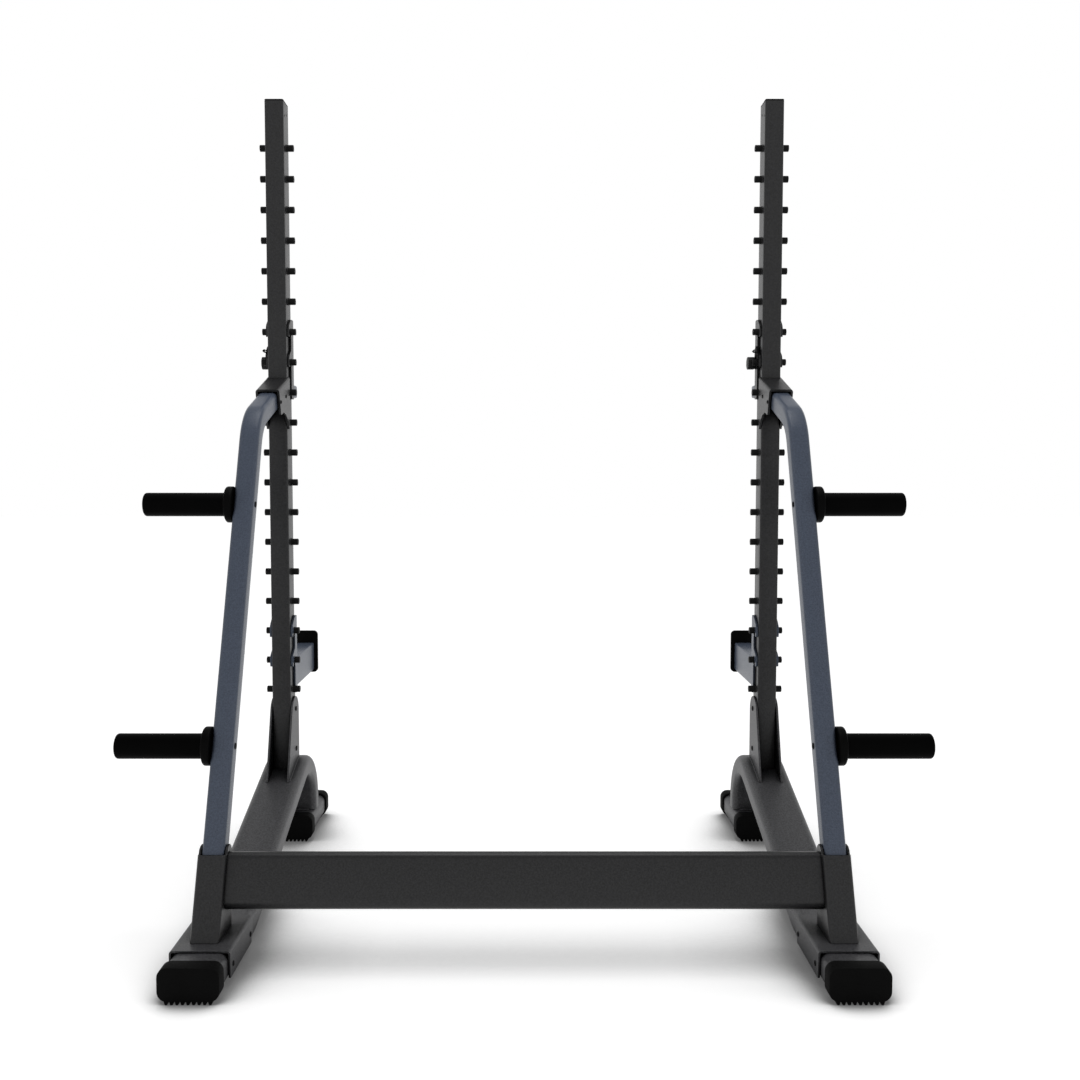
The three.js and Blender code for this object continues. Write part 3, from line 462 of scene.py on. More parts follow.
def soften(obj, bevel, angle=35):
    """Smooth faces, sharp edges above the angle, and a fine bevel on them."""
    mesh = obj.data
    for polygon in mesh.polygons:
        polygon.use_smooth = True
    if bevel > 0:
        modifier = obj.modifiers.new("edges", "BEVEL")
        modifier.width = bevel * MM
        modifier.segments = 2
        modifier.limit_method = "ANGLE"
        modifier.angle_limit = math.radians(angle)
        modifier.harden_normals = False
    mesh.set_sharp_from_angle(angle=math.radians(angle))


# Materials

def linear(r, g, b):
    """A colour from its 0 to 255 display values."""
    def one(c):
        c /= 255
        return c / 12.92 if c <= 0.04045 else ((c + 0.055) / 1.055) ** 2.4
    return (one(r), one(g), one(b), 1.0)


def scaled(colour, factor):
    return tuple(min(1.0, c * factor) for c in colour[:3]) + (1.0,)


class Graph:
    """A short way to build a node tree. Lengths are in metres here."""

    def __init__(self, tree):
        self.tree = tree

    def node(self, kind, **values):
        made = self.tree.nodes.new(kind)
        for key, value in values.items():
            setattr(made, key, value)
        return made

    def link(self, a, b):
        self.tree.links.new(a, b)

    def math(self, operation, a, b):
        """A Math node of two sockets, or of a socket and a number."""
        made = self.node("ShaderNodeMath", operation=operation)
        for i, value in enumerate((a, b)):
            if isinstance(value, float):
                made.inputs[i].default_value = value
            else:
                self.link(value, made.inputs[i])
        return made.outputs["Value"]

    def ramp(self, value, low, high, start=0.0, end=1.0, kind="LINEAR"):
        """Runs from start to end as the value goes from low to high."""
        made = self.node("ShaderNodeMapRange", interpolation_type=kind)
        for key, number in (("From Min", low), ("From Max", high), ("To Min", start),
                            ("To Max", end)):
            made.inputs[key].default_value = number
        self.link(value, made.inputs["Value"])
        return made.outputs["Result"]

    def seen(self):
        """1 for the rays that show a surface to the camera, 0 for those that light it."""
        rays = self.node("ShaderNodeLightPath").outputs
        shown = self.math("MAXIMUM", rays["Is Camera Ray"], rays["Is Glossy Ray"])
        return self.math("MAXIMUM", shown, rays["Is Transmission Ray"])


class Paint(Graph):
    """The nodes of one material around its own shader."""

    def __init__(self, name):
        self.material = bpy.data.materials.new(name)
        self.material.use_nodes = True
        super().__init__(self.material.node_tree)
        self.shader = self.tree.nodes["Principled BSDF"]
        self.place = self.tree.nodes.new("ShaderNodeTexCoord").outputs["Object"]

    def noise(self, scale, detail=3.0, roughness=0.55, stretch=(1, 1, 1)):
        mapping = self.node("ShaderNodeMapping")
        mapping.inputs["Scale"].default_value = stretch
        self.link(self.place, mapping.inputs["Vector"])
        made = self.node("ShaderNodeTexNoise")
        made.inputs["Scale"].default_value = scale
        made.inputs["Detail"].default_value = detail
        made.inputs["Roughness"].default_value = roughness
        self.link(mapping.outputs["Vector"], made.inputs["Vector"])
        return made.outputs["Fac"]

    def blend(self, share, first, second):
        made = self.node("ShaderNodeMix", data_type="RGBA")
        if isinstance(share, float):
            made.inputs["Factor"].default_value = share
        else:
            self.link(share, made.inputs["Factor"])
        for key, value in (("A", first), ("B", second)):
            socket = [s for s in made.inputs if s.name == key and s.type == "RGBA"][0]
            if isinstance(value, tuple):
                socket.default_value = value
            else:
                self.link(value, socket)
        return [s for s in made.outputs if s.type == "RGBA"][0]

    def edges(self, radius):
        """1 on the rims of a shape and 0 on its flats."""
        bevel = self.node("ShaderNodeBevel", samples=4)
        bevel.inputs["Radius"].default_value = radius
        geometry = self.node("ShaderNodeNewGeometry")
        dot = self.node("ShaderNodeVectorMath", operation="DOT_PRODUCT")
        self.link(bevel.outputs["Normal"], dot.inputs[0])
        self.link(geometry.outputs["Normal"], dot.inputs[1])
        return self.ramp(dot.outputs["Value"], low=0.985, high=0.90)

    def painted_corner_shade(self, reach, floor):
        """Painted shade: 1 on open faces, down to floor in tight corners, where shade falls."""
        hidden = self.node("ShaderNodeAmbientOcclusion", samples=4)
        hidden.inputs["Distance"].default_value = reach
        return self.ramp(hidden.outputs["AO"], low=0.30, high=0.82, start=floor)

    def darkened(self, share, colour):
        """The colour times a share, from black to whole."""
        return self.blend(share, (0.0, 0.0, 0.0, 1.0), colour)

    def rough(self, value, low, high):
        """Lets a noise run the roughness from low to high."""
        self.link(self.ramp(value, 0.3, 0.7, low, high), self.shader.inputs["Roughness"])

    def bump(self, height, strength, distance):
        made = self.node("ShaderNodeBump")
        made.inputs["Strength"].default_value = strength
        made.inputs["Distance"].default_value = distance
        self.link(height, made.inputs["Height"])
        self.link(made.outputs["Normal"], self.shader.inputs["Normal"])


def powder_coat(name, colour, roughness, gloss, grain=1.0, worn=0.35):
    """Baked paint: fine leathery grain, pale flecks as painted glints, rubbed rims, painted corner
    shade.
    """
    n = Paint(name)
    darkest_corner_shade = 0.1
    contrast = 0.38 * grain
    cloud = n.noise(9.0, detail=4.0)
    fine = n.noise(620.0, detail=2.0, roughness=0.6)
    coarse = n.noise(330.0, detail=2.0, roughness=0.6)
    mottle = n.ramp(n.noise(300.0, roughness=0.7), 0.36, 0.64)
    base = n.blend(mottle, scaled(colour, 1 - contrast), scaled(colour, 1 + contrast))
    # Painted glints: pale flecks on the grain stand in for small highlights off its bumps.
    glint_spot = n.ramp(n.noise(1150.0, detail=1.0), 0.60, 0.74)
    painted_glint = n.math("MULTIPLY", glint_spot, n.ramp(cloud, 0.3, 0.7, 0.25 * grain, 0.6 * grain))
    glint_painted = n.blend(painted_glint, base, scaled(colour, 2.4))
    rubbed = n.ramp(n.noise(75.0, detail=5.0, roughness=0.7), 0.42, 0.62, end=worn)
    painted = n.blend(n.math("MULTIPLY", n.edges(0.0016), rubbed), glint_painted, scaled(colour, 2.6))
    # Painted shade: corners and the gaps between parts are darkened in the colour, as if shaded.
    unshaded_share = n.painted_corner_shade(0.08, darkest_corner_shade)
    n.link(n.darkened(unshaded_share, painted), n.shader.inputs["Base Color"])
    n.rough(fine, roughness - 0.06, roughness + 0.08)
    # Painted shade: the gloss also dims in corners, in place of the reflections they would hide.
    n.link(n.ramp(unshaded_share, darkest_corner_shade, 0.7, end=gloss),
           n.shader.inputs["Specular IOR Level"])
    n.bump(n.blend(0.5, fine, coarse), 0.5 * grain, 0.0004)
    return n.material


def moulded(name, colour, roughness, gloss, grain_scale=380.0, grain=0.4):
    """Moulded rubber or plastic with a fine matt grain, and worn rims lightened as a painted sheen.
    """
    n = Paint(name)
    fine = n.noise(grain_scale, detail=4.0, roughness=0.65)
    cloud = n.ramp(n.noise(14.0), 0.35, 0.65)
    base = n.blend(cloud, scaled(colour, 0.85), scaled(colour, 1.2))
    worn_rim_sheen = n.ramp(n.noise(110.0, detail=4.0), 0.40, 0.62, end=0.5)
    # Painted sheen: worn rims are lightened in the colour, as if they caught the light.
    n.link(n.blend(n.math("MULTIPLY", n.edges(0.0014), worn_rim_sheen), base, scaled(colour, 1.9)),
           n.shader.inputs["Base Color"])
    n.rough(fine, roughness - 0.08, roughness + 0.08)
    n.shader.inputs["Specular IOR Level"].default_value = gloss
    n.bump(fine, grain, 0.0002)
    return n.material


def blackened(name, colour, roughness, bare=linear(70, 70, 72)):
    """Blackened steel with faint turning marks and rims rubbed bare."""
    n = Paint(name)
    marks = n.noise(260.0, roughness=0.6, stretch=(6, 1, 1))
    base = n.blend(n.ramp(marks, 0.35, 0.65), scaled(colour, 0.8), scaled(colour, 1.25))
    rubbed = n.ramp(n.noise(150.0, detail=4.0), 0.36, 0.6, end=0.6)
    n.link(n.blend(n.math("MULTIPLY", n.edges(0.0009), rubbed), base, bare),
           n.shader.inputs["Base Color"])
    n.rough(marks, roughness - 0.08, roughness + 0.1)
    n.shader.inputs["Specular IOR Level"].default_value = 0.06
    n.bump(marks, 0.2, 0.0001)
    return n.material


BLACK = powder_coat("charcoal_powder_coat", linear(32, 32, 33), roughness=0.34, gloss=0.27)
GREY = powder_coat("grey_powder_coat", linear(54, 54, 56), roughness=0.44, gloss=0.36, grain=1.4)
BLUE = powder_coat("slate_blue_powder_coat", linear(67, 74, 87), roughness=0.30, gloss=0.18,
                   grain=0.4)
RUBBER = moulded("foot_rubber_grain", linear(7, 7, 7), roughness=0.70, gloss=0.05,
                 grain_scale=420.0, grain=0.5)
PLASTIC = moulded("black_plastic_grain", linear(3, 3, 3), roughness=0.5, gloss=0.04)
HORN = moulded("horn_sleeve_plastic", linear(3, 3, 3), roughness=0.5, gloss=0.02,
               grain_scale=520.0, grain=0.25)
KNOB = moulded("knob_plastic_grain", linear(24, 24, 24), roughness=0.45, gloss=0.14,
               grain_scale=300.0)
STEEL = blackened("blackened_steel", linear(7, 7, 7), roughness=0.55)
PEG = blackened("blackened_peg", linear(22, 22, 22), roughness=0.5)

DRESS = {
    "black_paint": BLACK, "grey_paint": GREY, "blue_paint": BLUE, "foot_rubber": RUBBER,
    "black_plastic": PLASTIC, "horn_plastic": HORN, "bolt_steel": STEEL,
}
SLOT_OF = {material.name: slot for slot, material in DRESS.items()}
SLOT_OF[KNOB.name] = SLOT_OF[PLASTIC.name]
node_slots = {row["node"]: row["material_slot"] for row in frame["record"]["subparts"]}
for node_name, node in frame["nodes"].items():
    node.data.materials.clear()
    node.data.materials.append(DRESS[node_slots[node_name]])


# Camera, as the photograph was taken

camera_data = bpy.data.cameras.new("camera")
camera_data.sensor_width = 36
camera_data.lens = 37.975
camera_data.shift_x = 0.01454
camera_data.shift_y = 0.0002
camera_data.clip_end = 60
camera = new_object("camera", camera_data)
camera.location = (0, -2.5443, 0.9539)
camera.rotation_euler = (math.radians(90 - 3.544), 0, 0)
bpy.context.scene.camera = camera


# The stage, in metres: a pale floor, a white surround and one soft lamp

WHITE = (1, 1, 1, 1)


def make_world(light, zenith_light, zenith_white):
    """Soft light and a white surround, both dimmer overhead, above what the camera sees."""
    world = bpy.data.worlds.new("studio")
    world.use_nodes = True
    n = Graph(world.node_tree)
    n.tree.nodes.clear()
    direction = n.node("ShaderNodeSeparateXYZ")
    n.link(n.node("ShaderNodeTexCoord").outputs["Generated"], direction.inputs[0])
    height = direction.outputs["Z"]
    mix = n.node("ShaderNodeMixShader")
    n.link(n.seen(), mix.inputs[0])
    strengths = (n.ramp(height, 0.2, 1.0, light, zenith_light, "SMOOTHSTEP"),
                 n.ramp(height, 0.38, 0.8, 1.0, zenith_white, "SMOOTHSTEP"))
    for i, strength in enumerate(strengths, start=1):
        background = n.node("ShaderNodeBackground")
        background.inputs["Color"].default_value = WHITE
        n.link(strength, background.inputs["Strength"])
        n.link(background.outputs[0], mix.inputs[i])
    n.link(mix.outputs[0], n.node("ShaderNodeOutputWorld").inputs["Surface"])
    bpy.context.scene.world = world


def floor_material(albedo, near_glow, far_glow):
    """Shines white where nothing shades it, also where the lamp fades, with contact shade."""
    near, far = 0.5, 7.0
    darkest = 0.2
    material = bpy.data.materials.new("studio_floor")
    material.use_nodes = True
    n = Graph(material.node_tree)
    n.tree.nodes.clear()
    contact = n.node("ShaderNodeAmbientOcclusion", samples=32)
    contact.inputs["Distance"].default_value = 0.26
    shade = n.ramp(contact.outputs["AO"], 0.45, 0.92, darkest, 1.0, "SMOOTHSTEP")
    diffuse = n.node("ShaderNodeBsdfDiffuse")
    n.link(n.math("MULTIPLY", shade, albedo), diffuse.inputs["Color"])
    reach = n.node("ShaderNodeVectorMath", operation="LENGTH")
    n.link(n.node("ShaderNodeTexCoord").outputs["Object"], reach.inputs[0])
    glow = n.ramp(reach.outputs["Value"], near, far, near_glow, far_glow, "SMOOTHSTEP")
    shine = n.node("ShaderNodeEmission")
    shine.inputs["Color"].default_value = WHITE
    n.link(n.math("MULTIPLY", n.seen(), n.math("MULTIPLY", glow, shade)),
           shine.inputs["Strength"])
    both = n.node("ShaderNodeAddShader")
    n.link(diffuse.outputs[0], both.inputs[0])
    n.link(shine.outputs[0], both.inputs[1])
    n.link(both.outputs[0], n.node("ShaderNodeOutputMaterial").inputs["Surface"])
    return material


def make_floor(half_width, material):
    bm = bmesh.new()
    bmesh.ops.create_grid(bm, x_segments=2, y_segments=2, size=half_width)
    mesh = bpy.data.meshes.new("floor")
    bm.to_mesh(mesh)
    bm.free()
    mesh.materials.append(material)
    floor = new_object("floor", mesh)


def area_lamp(name, location, target, size, watts):
    data = bpy.data.lights.new(name, "AREA")
    data.size = size
    data.energy = watts
    lamp = new_object(name, data)
    lamp.location = location
    aim = Vector(target) - Vector(location)
    lamp.rotation_euler = aim.to_track_quat("-Z", "Y").to_euler()


make_world(light=1.15, zenith_light=0.42, zenith_white=0.35)
make_floor(half_width=20, material=floor_material(albedo=0.75, near_glow=0.40, far_glow=0.51))
area_lamp("overhead", (0, 0.3, 4.2), (0, 0, 0.6), size=2.4, watts=56)
bpy.context.scene.view_settings.view_transform = "Standard"


# Base rails, feet, caps and saddles

def rail_stations(**options):
    peak = RAIL_MIDDLE + (LEG_Y - RAIL_BEND_Y) * math.tan(RAIL_SLOPE)
    return bent_line([(CAP_END + GAP, RAIL_MIDDLE), (RAIL_BEND_Y, RAIL_MIDDLE), (LEG_Y, peak),
                      (LEG_Y, RAIL_TOP + GAP)], RAIL_BEND_RADII, **options)


def rail_envelope():
    """The rail with one gap all round, as a tool for what is cut to sit on it."""
    outline = rounded_rect(RAIL_WIDTH + 2 * GAP, RAIL_HEIGHT + 2 * GAP, RAIL_CORNER + GAP)
    return rings_to_mesh([station_ring(outline, s) for s in rail_stations()])


def rail_tube(stations):
    return swept_tube(stations, RAIL_WIDTH, RAIL_HEIGHT, RAIL_CORNER, RAIL_WALL)


def foot_cap(face_y, facing):
    y0, y1 = sorted((face_y, face_y + facing * CAP_LENGTH))
    height = CAP_TOP - CAP_CLEARANCE
    middle = CAP_CLEARANCE + height / 2
    body = along_y(rounded_rect(CAP_WIDTH, height, CAP_CORNER, 0, middle), y0, y1, edge=CAP_EDGE)
    pocket = along_y(rounded_rect(RAIL_WIDTH + 2 * GAP, RAIL_HEIGHT + 2 * GAP, RAIL_CORNER + GAP,
                                  0, RAIL_MIDDLE),
                     *sorted((face_y + facing * CAP_END, face_y + facing * (CAP_LENGTH + OVERRUN))))
    ribs = []
    for i in range(RIB_COUNT):
        x = (i - (RIB_COUNT - 1) / 2) * RIB_PITCH
        rib = soft([(x - RIB_TIP_HALF, 0, RIB_ROUND), (x + RIB_TIP_HALF, 0, RIB_ROUND),
                    (x + RIB_ROOT_HALF, RIB_TOP), (x - RIB_ROOT_HALF, RIB_TOP)], steps=3)
        ribs.append(along_y(rib, y0 + RIB_INSET, y1 - RIB_INSET))
    return joined([carve(body, [pocket]), *ribs])


def saddle():
    above, wide_cut, corner = 80, 70, 4
    sheet = up_lean(channel(SADDLE_HALF, SADDLE_PLATE, SADDLE_TOP - SADDLE_LOW, SADDLE_FOLD),
                    SADDLE_END - SADDLE_START, lean=QUARTER, y=SADDLE_START, z=SADDLE_TOP)
    corners = [(SADDLE_START, SADDLE_LOW, corner), (SADDLE_START, above), (SADDLE_END, above),
               (SADDLE_END, SADDLE_STEP_Z, corner), (SADDLE_STEP_Y, SADDLE_STEP_Z, corner),
               (SADDLE_STEP_Y, SADDLE_LOW, corner)]
    holes = [drill(SADDLE_HOLE, -wide_cut, wide_cut, y, RAIL_MIDDLE) for y in SADDLE_HOLE_YS]
    return carve(trimmed(sheet, corners, wide_cut), holes)


def make_base(side):
    place("base_rail_tube", rail_tube(rail_stations()), side, GREY, node="base_rail")
    foot = rail_tube(straight(REAR_CAP_Y + CAP_END + GAP, 2 * HALF_DEPTH - CAP_END - GAP,
                              RAIL_MIDDLE))
    place("rear_foot_bar", foot, side, GREY, node="rear_foot_tube")
    caps = (("front_foot_cap", 0, 1), ("rear_foot_cap_near", REAR_CAP_Y, 1),
            ("rear_foot_cap_far", 2 * HALF_DEPTH, -1))
    for cap, face, facing in caps:
        place(f"{cap}_rubber", foot_cap(face, facing), side, RUBBER, node=cap, bevel=0.5, angle=50)
    place("front_saddle_sheet", saddle(), side, GREY, node="front_saddle", bevel=0.7)


# Braces, sockets, upper brackets and the cross beam

def socket_front(z):
    return horn_y(z) - (BRACE_DEPTH / 2 + GAP + SOCKET_PLATE) / math.cos(BRACE_LEAN)


def socket():
    length = 430
    start = socket_front(SOCKET_BOTTOM)
    front_top = SOCKET_BOTTOM + SOCKET_FRONT_RISE
    back = [(start + a * SOCKET_DEPTH, SOCKET_BOTTOM + b * SOCKET_BACK_RISE)
            for a, b in SOCKET_BACK_SHARES]
    outline = back + [(socket_front(front_top), front_top), (start, SOCKET_BOTTOM)]
    low = SOCKET_BOTTOM - SOCKET_DEPTH
    sheet = up_lean(channel(SOCKET_HALF, SOCKET_PLATE, SOCKET_DEPTH, SOCKET_FOLD), length,
                    lean=BRACE_LEAN, y=socket_front(low), z=low)
    return trimmed(sheet, outline)


def bracket():
    half = UPRIGHT_WIDTH / 2 + GAP + BRACKET_PLATE
    length, above = 2 * BRACKET_REACH, 5
    sheet = up_lean(channel(half, BRACKET_PLATE, BRACKET_DROP, BRACKET_FOLD), length,
                    lean=QUARTER - BRACE_TOP_SLOPE, y=BRACKET_FRONT_Y, z=BRACKET_FRONT_Z)
    back_y = BRACKET_FRONT_Y + BRACKET_REACH
    corners = [(BRACKET_FRONT_Y + a * BRACKET_REACH, BRACKET_FRONT_Z - b * BRACKET_DROP)
               for a, b in BRACKET_SIDE_SHARES]
    corners.append((back_y, BRACKET_FRONT_Z + BRACKET_REACH * math.tan(BRACE_TOP_SLOPE) + above))
    corners.append((BRACKET_FRONT_Y, BRACKET_FRONT_Z + above))
    low, tall = 1000, 400
    upright = up_lean(rounded_rect(UPRIGHT_WIDTH + 2 * GAP, UPRIGHT_DEPTH + 2 * GAP,
                                   UPRIGHT_CORNER, 0, PEG_Y, steps=4), tall, z=low)
    holes = [drill(BRACKET_HOLE, -CUT, CUT, BRACKET_FRONT_Y + a, BRACKET_FRONT_Z - b)
             for a, b in BRACKET_HOLES]
    return carve(trimmed(sheet, corners), [upright, *holes])


def make_brace(side):
    shift = side * BRACE_OFFSET
    rise = (BRACE_END_Y - BRACE_KNEE_Y) * math.tan(BRACE_TOP_SLOPE)
    stations = bent_line([(BRACE_FOOT_Y, BRACE_FOOT_Z), (BRACE_KNEE_Y, BRACE_KNEE_Z),
                          (BRACE_END_Y, BRACE_KNEE_Z + rise)], [BRACE_KNEE_RADIUS])
    brace = swept_tube(stations, BRACE_WIDTH, BRACE_DEPTH, BRACE_CORNER, BRACE_WALL)
    place("brace_bar", brace, side, BLUE, node="brace_tube", shift=shift)
    place("brace_socket_sheet", socket(), side, BLACK, node="brace_socket", bevel=0.7, shift=shift)
    place("upper_bracket_sheet", bracket(), side, BLACK, node="upper_bracket", bevel=0.7)


def make_beam():
    bottom = SADDLE_TOP + BEAM_RISE
    front = socket_front(bottom) + BEAM_SETBACK
    half_depth, half_height = BEAM_DEPTH / 2, BEAM_HEIGHT / 2
    reach = HALF_SPACING + BRACE_OFFSET - SOCKET_HALF - GAP
    u, v, w = lean_axes(BRACE_LEAN)
    outer = rounded_rect(BEAM_DEPTH, BEAM_HEIGHT, BEAM_CORNER, half_depth, half_height, steps=9)
    inner = rounded_rect(BEAM_DEPTH - 2 * BEAM_WALL, BEAM_HEIGHT - 2 * BEAM_WALL,
                         BEAM_CORNER - BEAM_WALL, half_depth, half_height, steps=9)

    def ring(outline, x):
        return [Vector((x, front, bottom)) + v * a + w * b for a, b in outline]

    beam = rings_to_mesh([ring(outer, -reach), ring(outer, reach), ring(inner, reach),
                          ring(inner, -reach)], closed=True)
    drill_half = 16
    holes = []
    for x in (-BEAM_HOLE_X, BEAM_HOLE_X):
        start = Vector((x, front, bottom)) + v * half_depth - w * drill_half
        holes.append(prism(circle(BEAM_HOLE, 24), 2 * drill_half, u, v, w, start))
    place("cross_beam_tube", carve(beam, holes), 0, BLACK, node="cross_beam")


# Uprights, gusset plates and horns

def peg(z, hand):
    edge, sides = 1.1, 28
    made = turned(eased([(0, PEG_ROOT_X), (PEG_WELD_RADIUS, PEG_WELD_X),
                         (PEG_RADIUS, PEG_WELD_END_X), (PEG_RADIUS, PEG_TIP_X),
                         (0, PEG_TIP_X)], edge), PEG_Y, z, sides)
    return flipped(made) if hand < 0 else made


def upright_plug():
    """The cap on the upright's top and the plug below it."""
    plug_depth, plug_length, corner = 16, 17, 3
    spare = 2 * (UPRIGHT_WALL + GAP)
    cap = up_lean(rounded_rect(UPRIGHT_WIDTH, UPRIGHT_DEPTH, UPRIGHT_CORNER, 0, PEG_Y, steps=5),
                  TOP_CAP_THICKNESS, z=UPRIGHT_END + GAP, edge=TOP_CAP_EDGE)
    plug = up_lean(rounded_rect(UPRIGHT_WIDTH - spare, UPRIGHT_DEPTH - spare, corner, 0, PEG_Y,
                                steps=3), plug_length, z=UPRIGHT_END - plug_depth)
    return joined([cap, plug])


def make_upright(side):
    up = Vector((0, 1))
    stations = [(Vector((PEG_Y, UPRIGHT_START)), up), (Vector((PEG_Y, UPRIGHT_END)), up)]
    tube = swept_tube(stations, UPRIGHT_WIDTH, UPRIGHT_DEPTH, UPRIGHT_CORNER, UPRIGHT_WALL,
                      steps=5)
    through_inner_wall = sorted(-side * x for x in LOCK_DRILL)
    holes = [drill(LOCK_HOLE, *through_inner_wall, UPRIGHT_FRONT + a, UPRIGHT_END - b)
             for a, b in LOCK_HOLES]
    tube = carve(tube, [rail_envelope(), *holes])
    pegs = [peg(peg_height(i), hand) for i in range(PEG_COUNT) for hand in (-1, 1)]
    ladder = place("upright_tube", joined([tube, *pegs]), side, BLACK, node="upright")
    ladder.data.materials.append(PEG)
    tube_half = UPRIGHT_WIDTH / 2 + GAP
    for polygon in ladder.data.polygons:
        if abs(polygon.center.x - side * HALF_SPACING * MM) > tube_half * MM:
            polygon.material_index = 1
    place("upright_plug", upright_plug(), side, PLASTIC, node="upright_top_cap")


def gusset(x0, x1):
    front_tangent = math.radians(165)
    crown = arc(GUSSET_MIDDLE_Y, GUSSET_TOP - GUSSET_ROUND, GUSSET_ROUND, front_tangent, 0, 24)
    foot = [(GUSSET_MIDDLE_Y + GUSSET_ROUND, UPRIGHT_START),
            (UPRIGHT_FRONT - GUSSET_REACH, UPRIGHT_START)]
    holes = [drill(GUSSET_HOLE, x0 - OVERRUN, x1 + OVERRUN, GUSSET_BOLT_Y, UPRIGHT_START + rise)
             for rise in GUSSET_BOLT_RISES.values()]
    return carve(along_x(foot + crown, x0, x1), [rail_envelope(), *holes])


def low_bolt(seat, height, radius, shank, end):
    """A low button head with a hexagon socket and a shank, pointing to +X."""
    hexagon, socket_depth, past = 2.9, 2.8, 3.2
    crown, edge, sides = 0.8 * radius, 0.5, 32
    top = seat + height
    head = turned(eased([(0, end), (shank, end), (shank, seat), (radius, seat), (crown, top),
                         (0, top)], edge), 0, 0, sides)
    return carve(head, [along_x(circle(hexagon, 6), top - socket_depth, top + past)])


def make_foot_plates(side):
    for where, hand in (("inner", -side), ("outer", side)):
        ends = sorted((hand * GUSSET_IN, hand * GUSSET_OUT))
        place(f"foot_plate_{where}_sheet", gusset(*ends), side, GREY,
              node=f"foot_plate_{where}", bevel=0.7)
    for level, rise in GUSSET_BOLT_RISES.items():
        pair = [moved(low_bolt(GUSSET_OUT + GAP, height=1.9, radius=6.6, shank=4.9, end=0),
                      GUSSET_BOLT_Y, UPRIGHT_START + rise, flip) for flip in (False, True)]
        place(f"foot_bolt_{level}_hex", joined(pair), side, STEEL, node=f"foot_bolt_{level}")


def make_horns(side):
    mirror = side < 0
    seat = BRACE_OFFSET + BRACE_WIDTH / 2 + GAP
    inner_seat = BRACE_WIDTH / 2 + GAP - BRACE_OFFSET
    bolt_reach, sides = 9, 56
    bore = HORN_RADIUS - HORN_WALL
    base, far = seat + HORN_BASE, HORN_END_X - HORN_WALL
    sleeve = eased([(HORN_BORE, seat), (HORN_RADIUS, seat), (HORN_RADIUS, HORN_END_X),
                    (HORN_EYE, HORN_END_X), (HORN_EYE, far), (bore, far), (bore, base),
                    (HORN_BORE, base)], radius=5.5, steps=6)
    ring_in = HORN_RADIUS + GAP
    ring = eased([(ring_in, seat), (COLLAR_RADIUS, seat), (COLLAR_RADIUS, COLLAR_END_X),
                  (ring_in, COLLAR_END_X)], radius=4.5, steps=5)
    for level, z in HORN_HEIGHTS.items():
        y = horn_y(z)
        place(f"horn_{level}_sleeve", turned(sleeve, y, z, sides), side, HORN,
              node=f"horn_{level}", mirror=mirror)
        place(f"horn_{level}_ring", turned(ring, y, z, sides), side, PLASTIC,
              node=f"horn_{level}_collar", mirror=mirror)
        bolt = low_bolt(inner_seat, height=1.6, radius=6.8, shank=5.9, end=-(seat + bolt_reach))
        place(f"horn_{level}_hex", moved(bolt, y, z, flip=True), side, STEEL,
              node=f"horn_{level}_bolt", mirror=mirror)


# Hook channels, catches and arms

def peg_slots(first):
    radius, steps = PEG_RADIUS + GAP, 14
    slot = arc(0, 0, radius, 0, 2 * QUARTER, steps)
    slot += arc(0, -SLOT_RUN, radius, 2 * QUARTER, 4 * QUARTER, steps)
    return [along_x(slot, -CUT, CUT, lean=SLOT_LEAN, y=PEG_Y, z=peg_height(first + i))
            for i in range(3)]


def hook_channel(first, lead, recess, clearance, above, below, top_round, end_round):
    """A folded sheet with two forward teeth that hangs on three pegs from the first on."""
    front, notch, back = PEG_Y - lead, PEG_Y + recess, UPRIGHT_BACK + clearance
    top, bottom = peg_height(first) + above, peg_height(first + 2) - below
    corners = [(back, top, end_round), (notch, top, top_round)]
    for tooth in range(2):
        z = peg_height(first + tooth)
        if tooth:
            corners.append((notch, z + TOOTH_GAP, TOOTH_ROUND))
        corners += [(front, z + TOOTH_TOP, TOOTH_NOSE), (front, z - TOOTH_LOW, TOOTH_ROUND),
                    (notch, z - TOOTH_LOW, TOOTH_ROUND)]
    corners += [(notch, bottom, end_round), (back, bottom, end_round)]
    sheet = up_lean(channel(HOOK_HALF, HOOK_PLATE, back - front, HOOK_FOLD), top - bottom,
                    lean=2 * QUARTER, y=back, z=top)
    return carve(trimmed(sheet, corners), peg_slots(first))


def hook_back(hooks):
    """The depth at which what a hook channel carries begins."""
    return UPRIGHT_BACK + hooks["clearance"] + GAP


def jaw_lines():
    """Where the J hook's faces lie: four depths and four heights, for it and its liner."""
    back = hook_back(CATCH_HOOKS)
    face = back + JAW_PLATE
    lip_in = face + JAW_OPENING
    bottom = peg_height(CATCH_HOOKS["first"] + 2) - CATCH_HOOKS["below"] + JAW_RAISE
    top = peg_height(CATCH_HOOKS["first"]) + CATCH_HOOKS["above"] - JAW_TOP_INSET
    floor = bottom + JAW_FLOOR
    return back, face, lip_in, lip_in + JAW_LIP, bottom, floor, top, floor + JAW_LIP_HEIGHT


def catch_jaw():
    """The J hook and the block in its corner."""
    back, face, lip_in, lip_out, bottom, floor, top, lip_top = jaw_lines()
    hook = along_x(soft([(back, bottom), (lip_out, bottom, JAW_OUT_ROUND),
                         (lip_out, lip_top, JAW_END_ROUND), (lip_in, lip_top, JAW_END_ROUND),
                         (lip_in, floor, JAW_IN_ROUND), (face, floor, JAW_IN_ROUND),
                         (face, top, JAW_END_ROUND), (back, top)], steps=8),
                   -JAW_HALF, JAW_HALF)
    block = along_y(rounded_rect(BLOCK_WIDTH, JAW_FLOOR, BLOCK_CORNER, 0, bottom + JAW_FLOOR / 2,
                                 steps=5), back, back + BLOCK_LENGTH, edge=BLOCK_EDGE)
    return joined([hook, block])


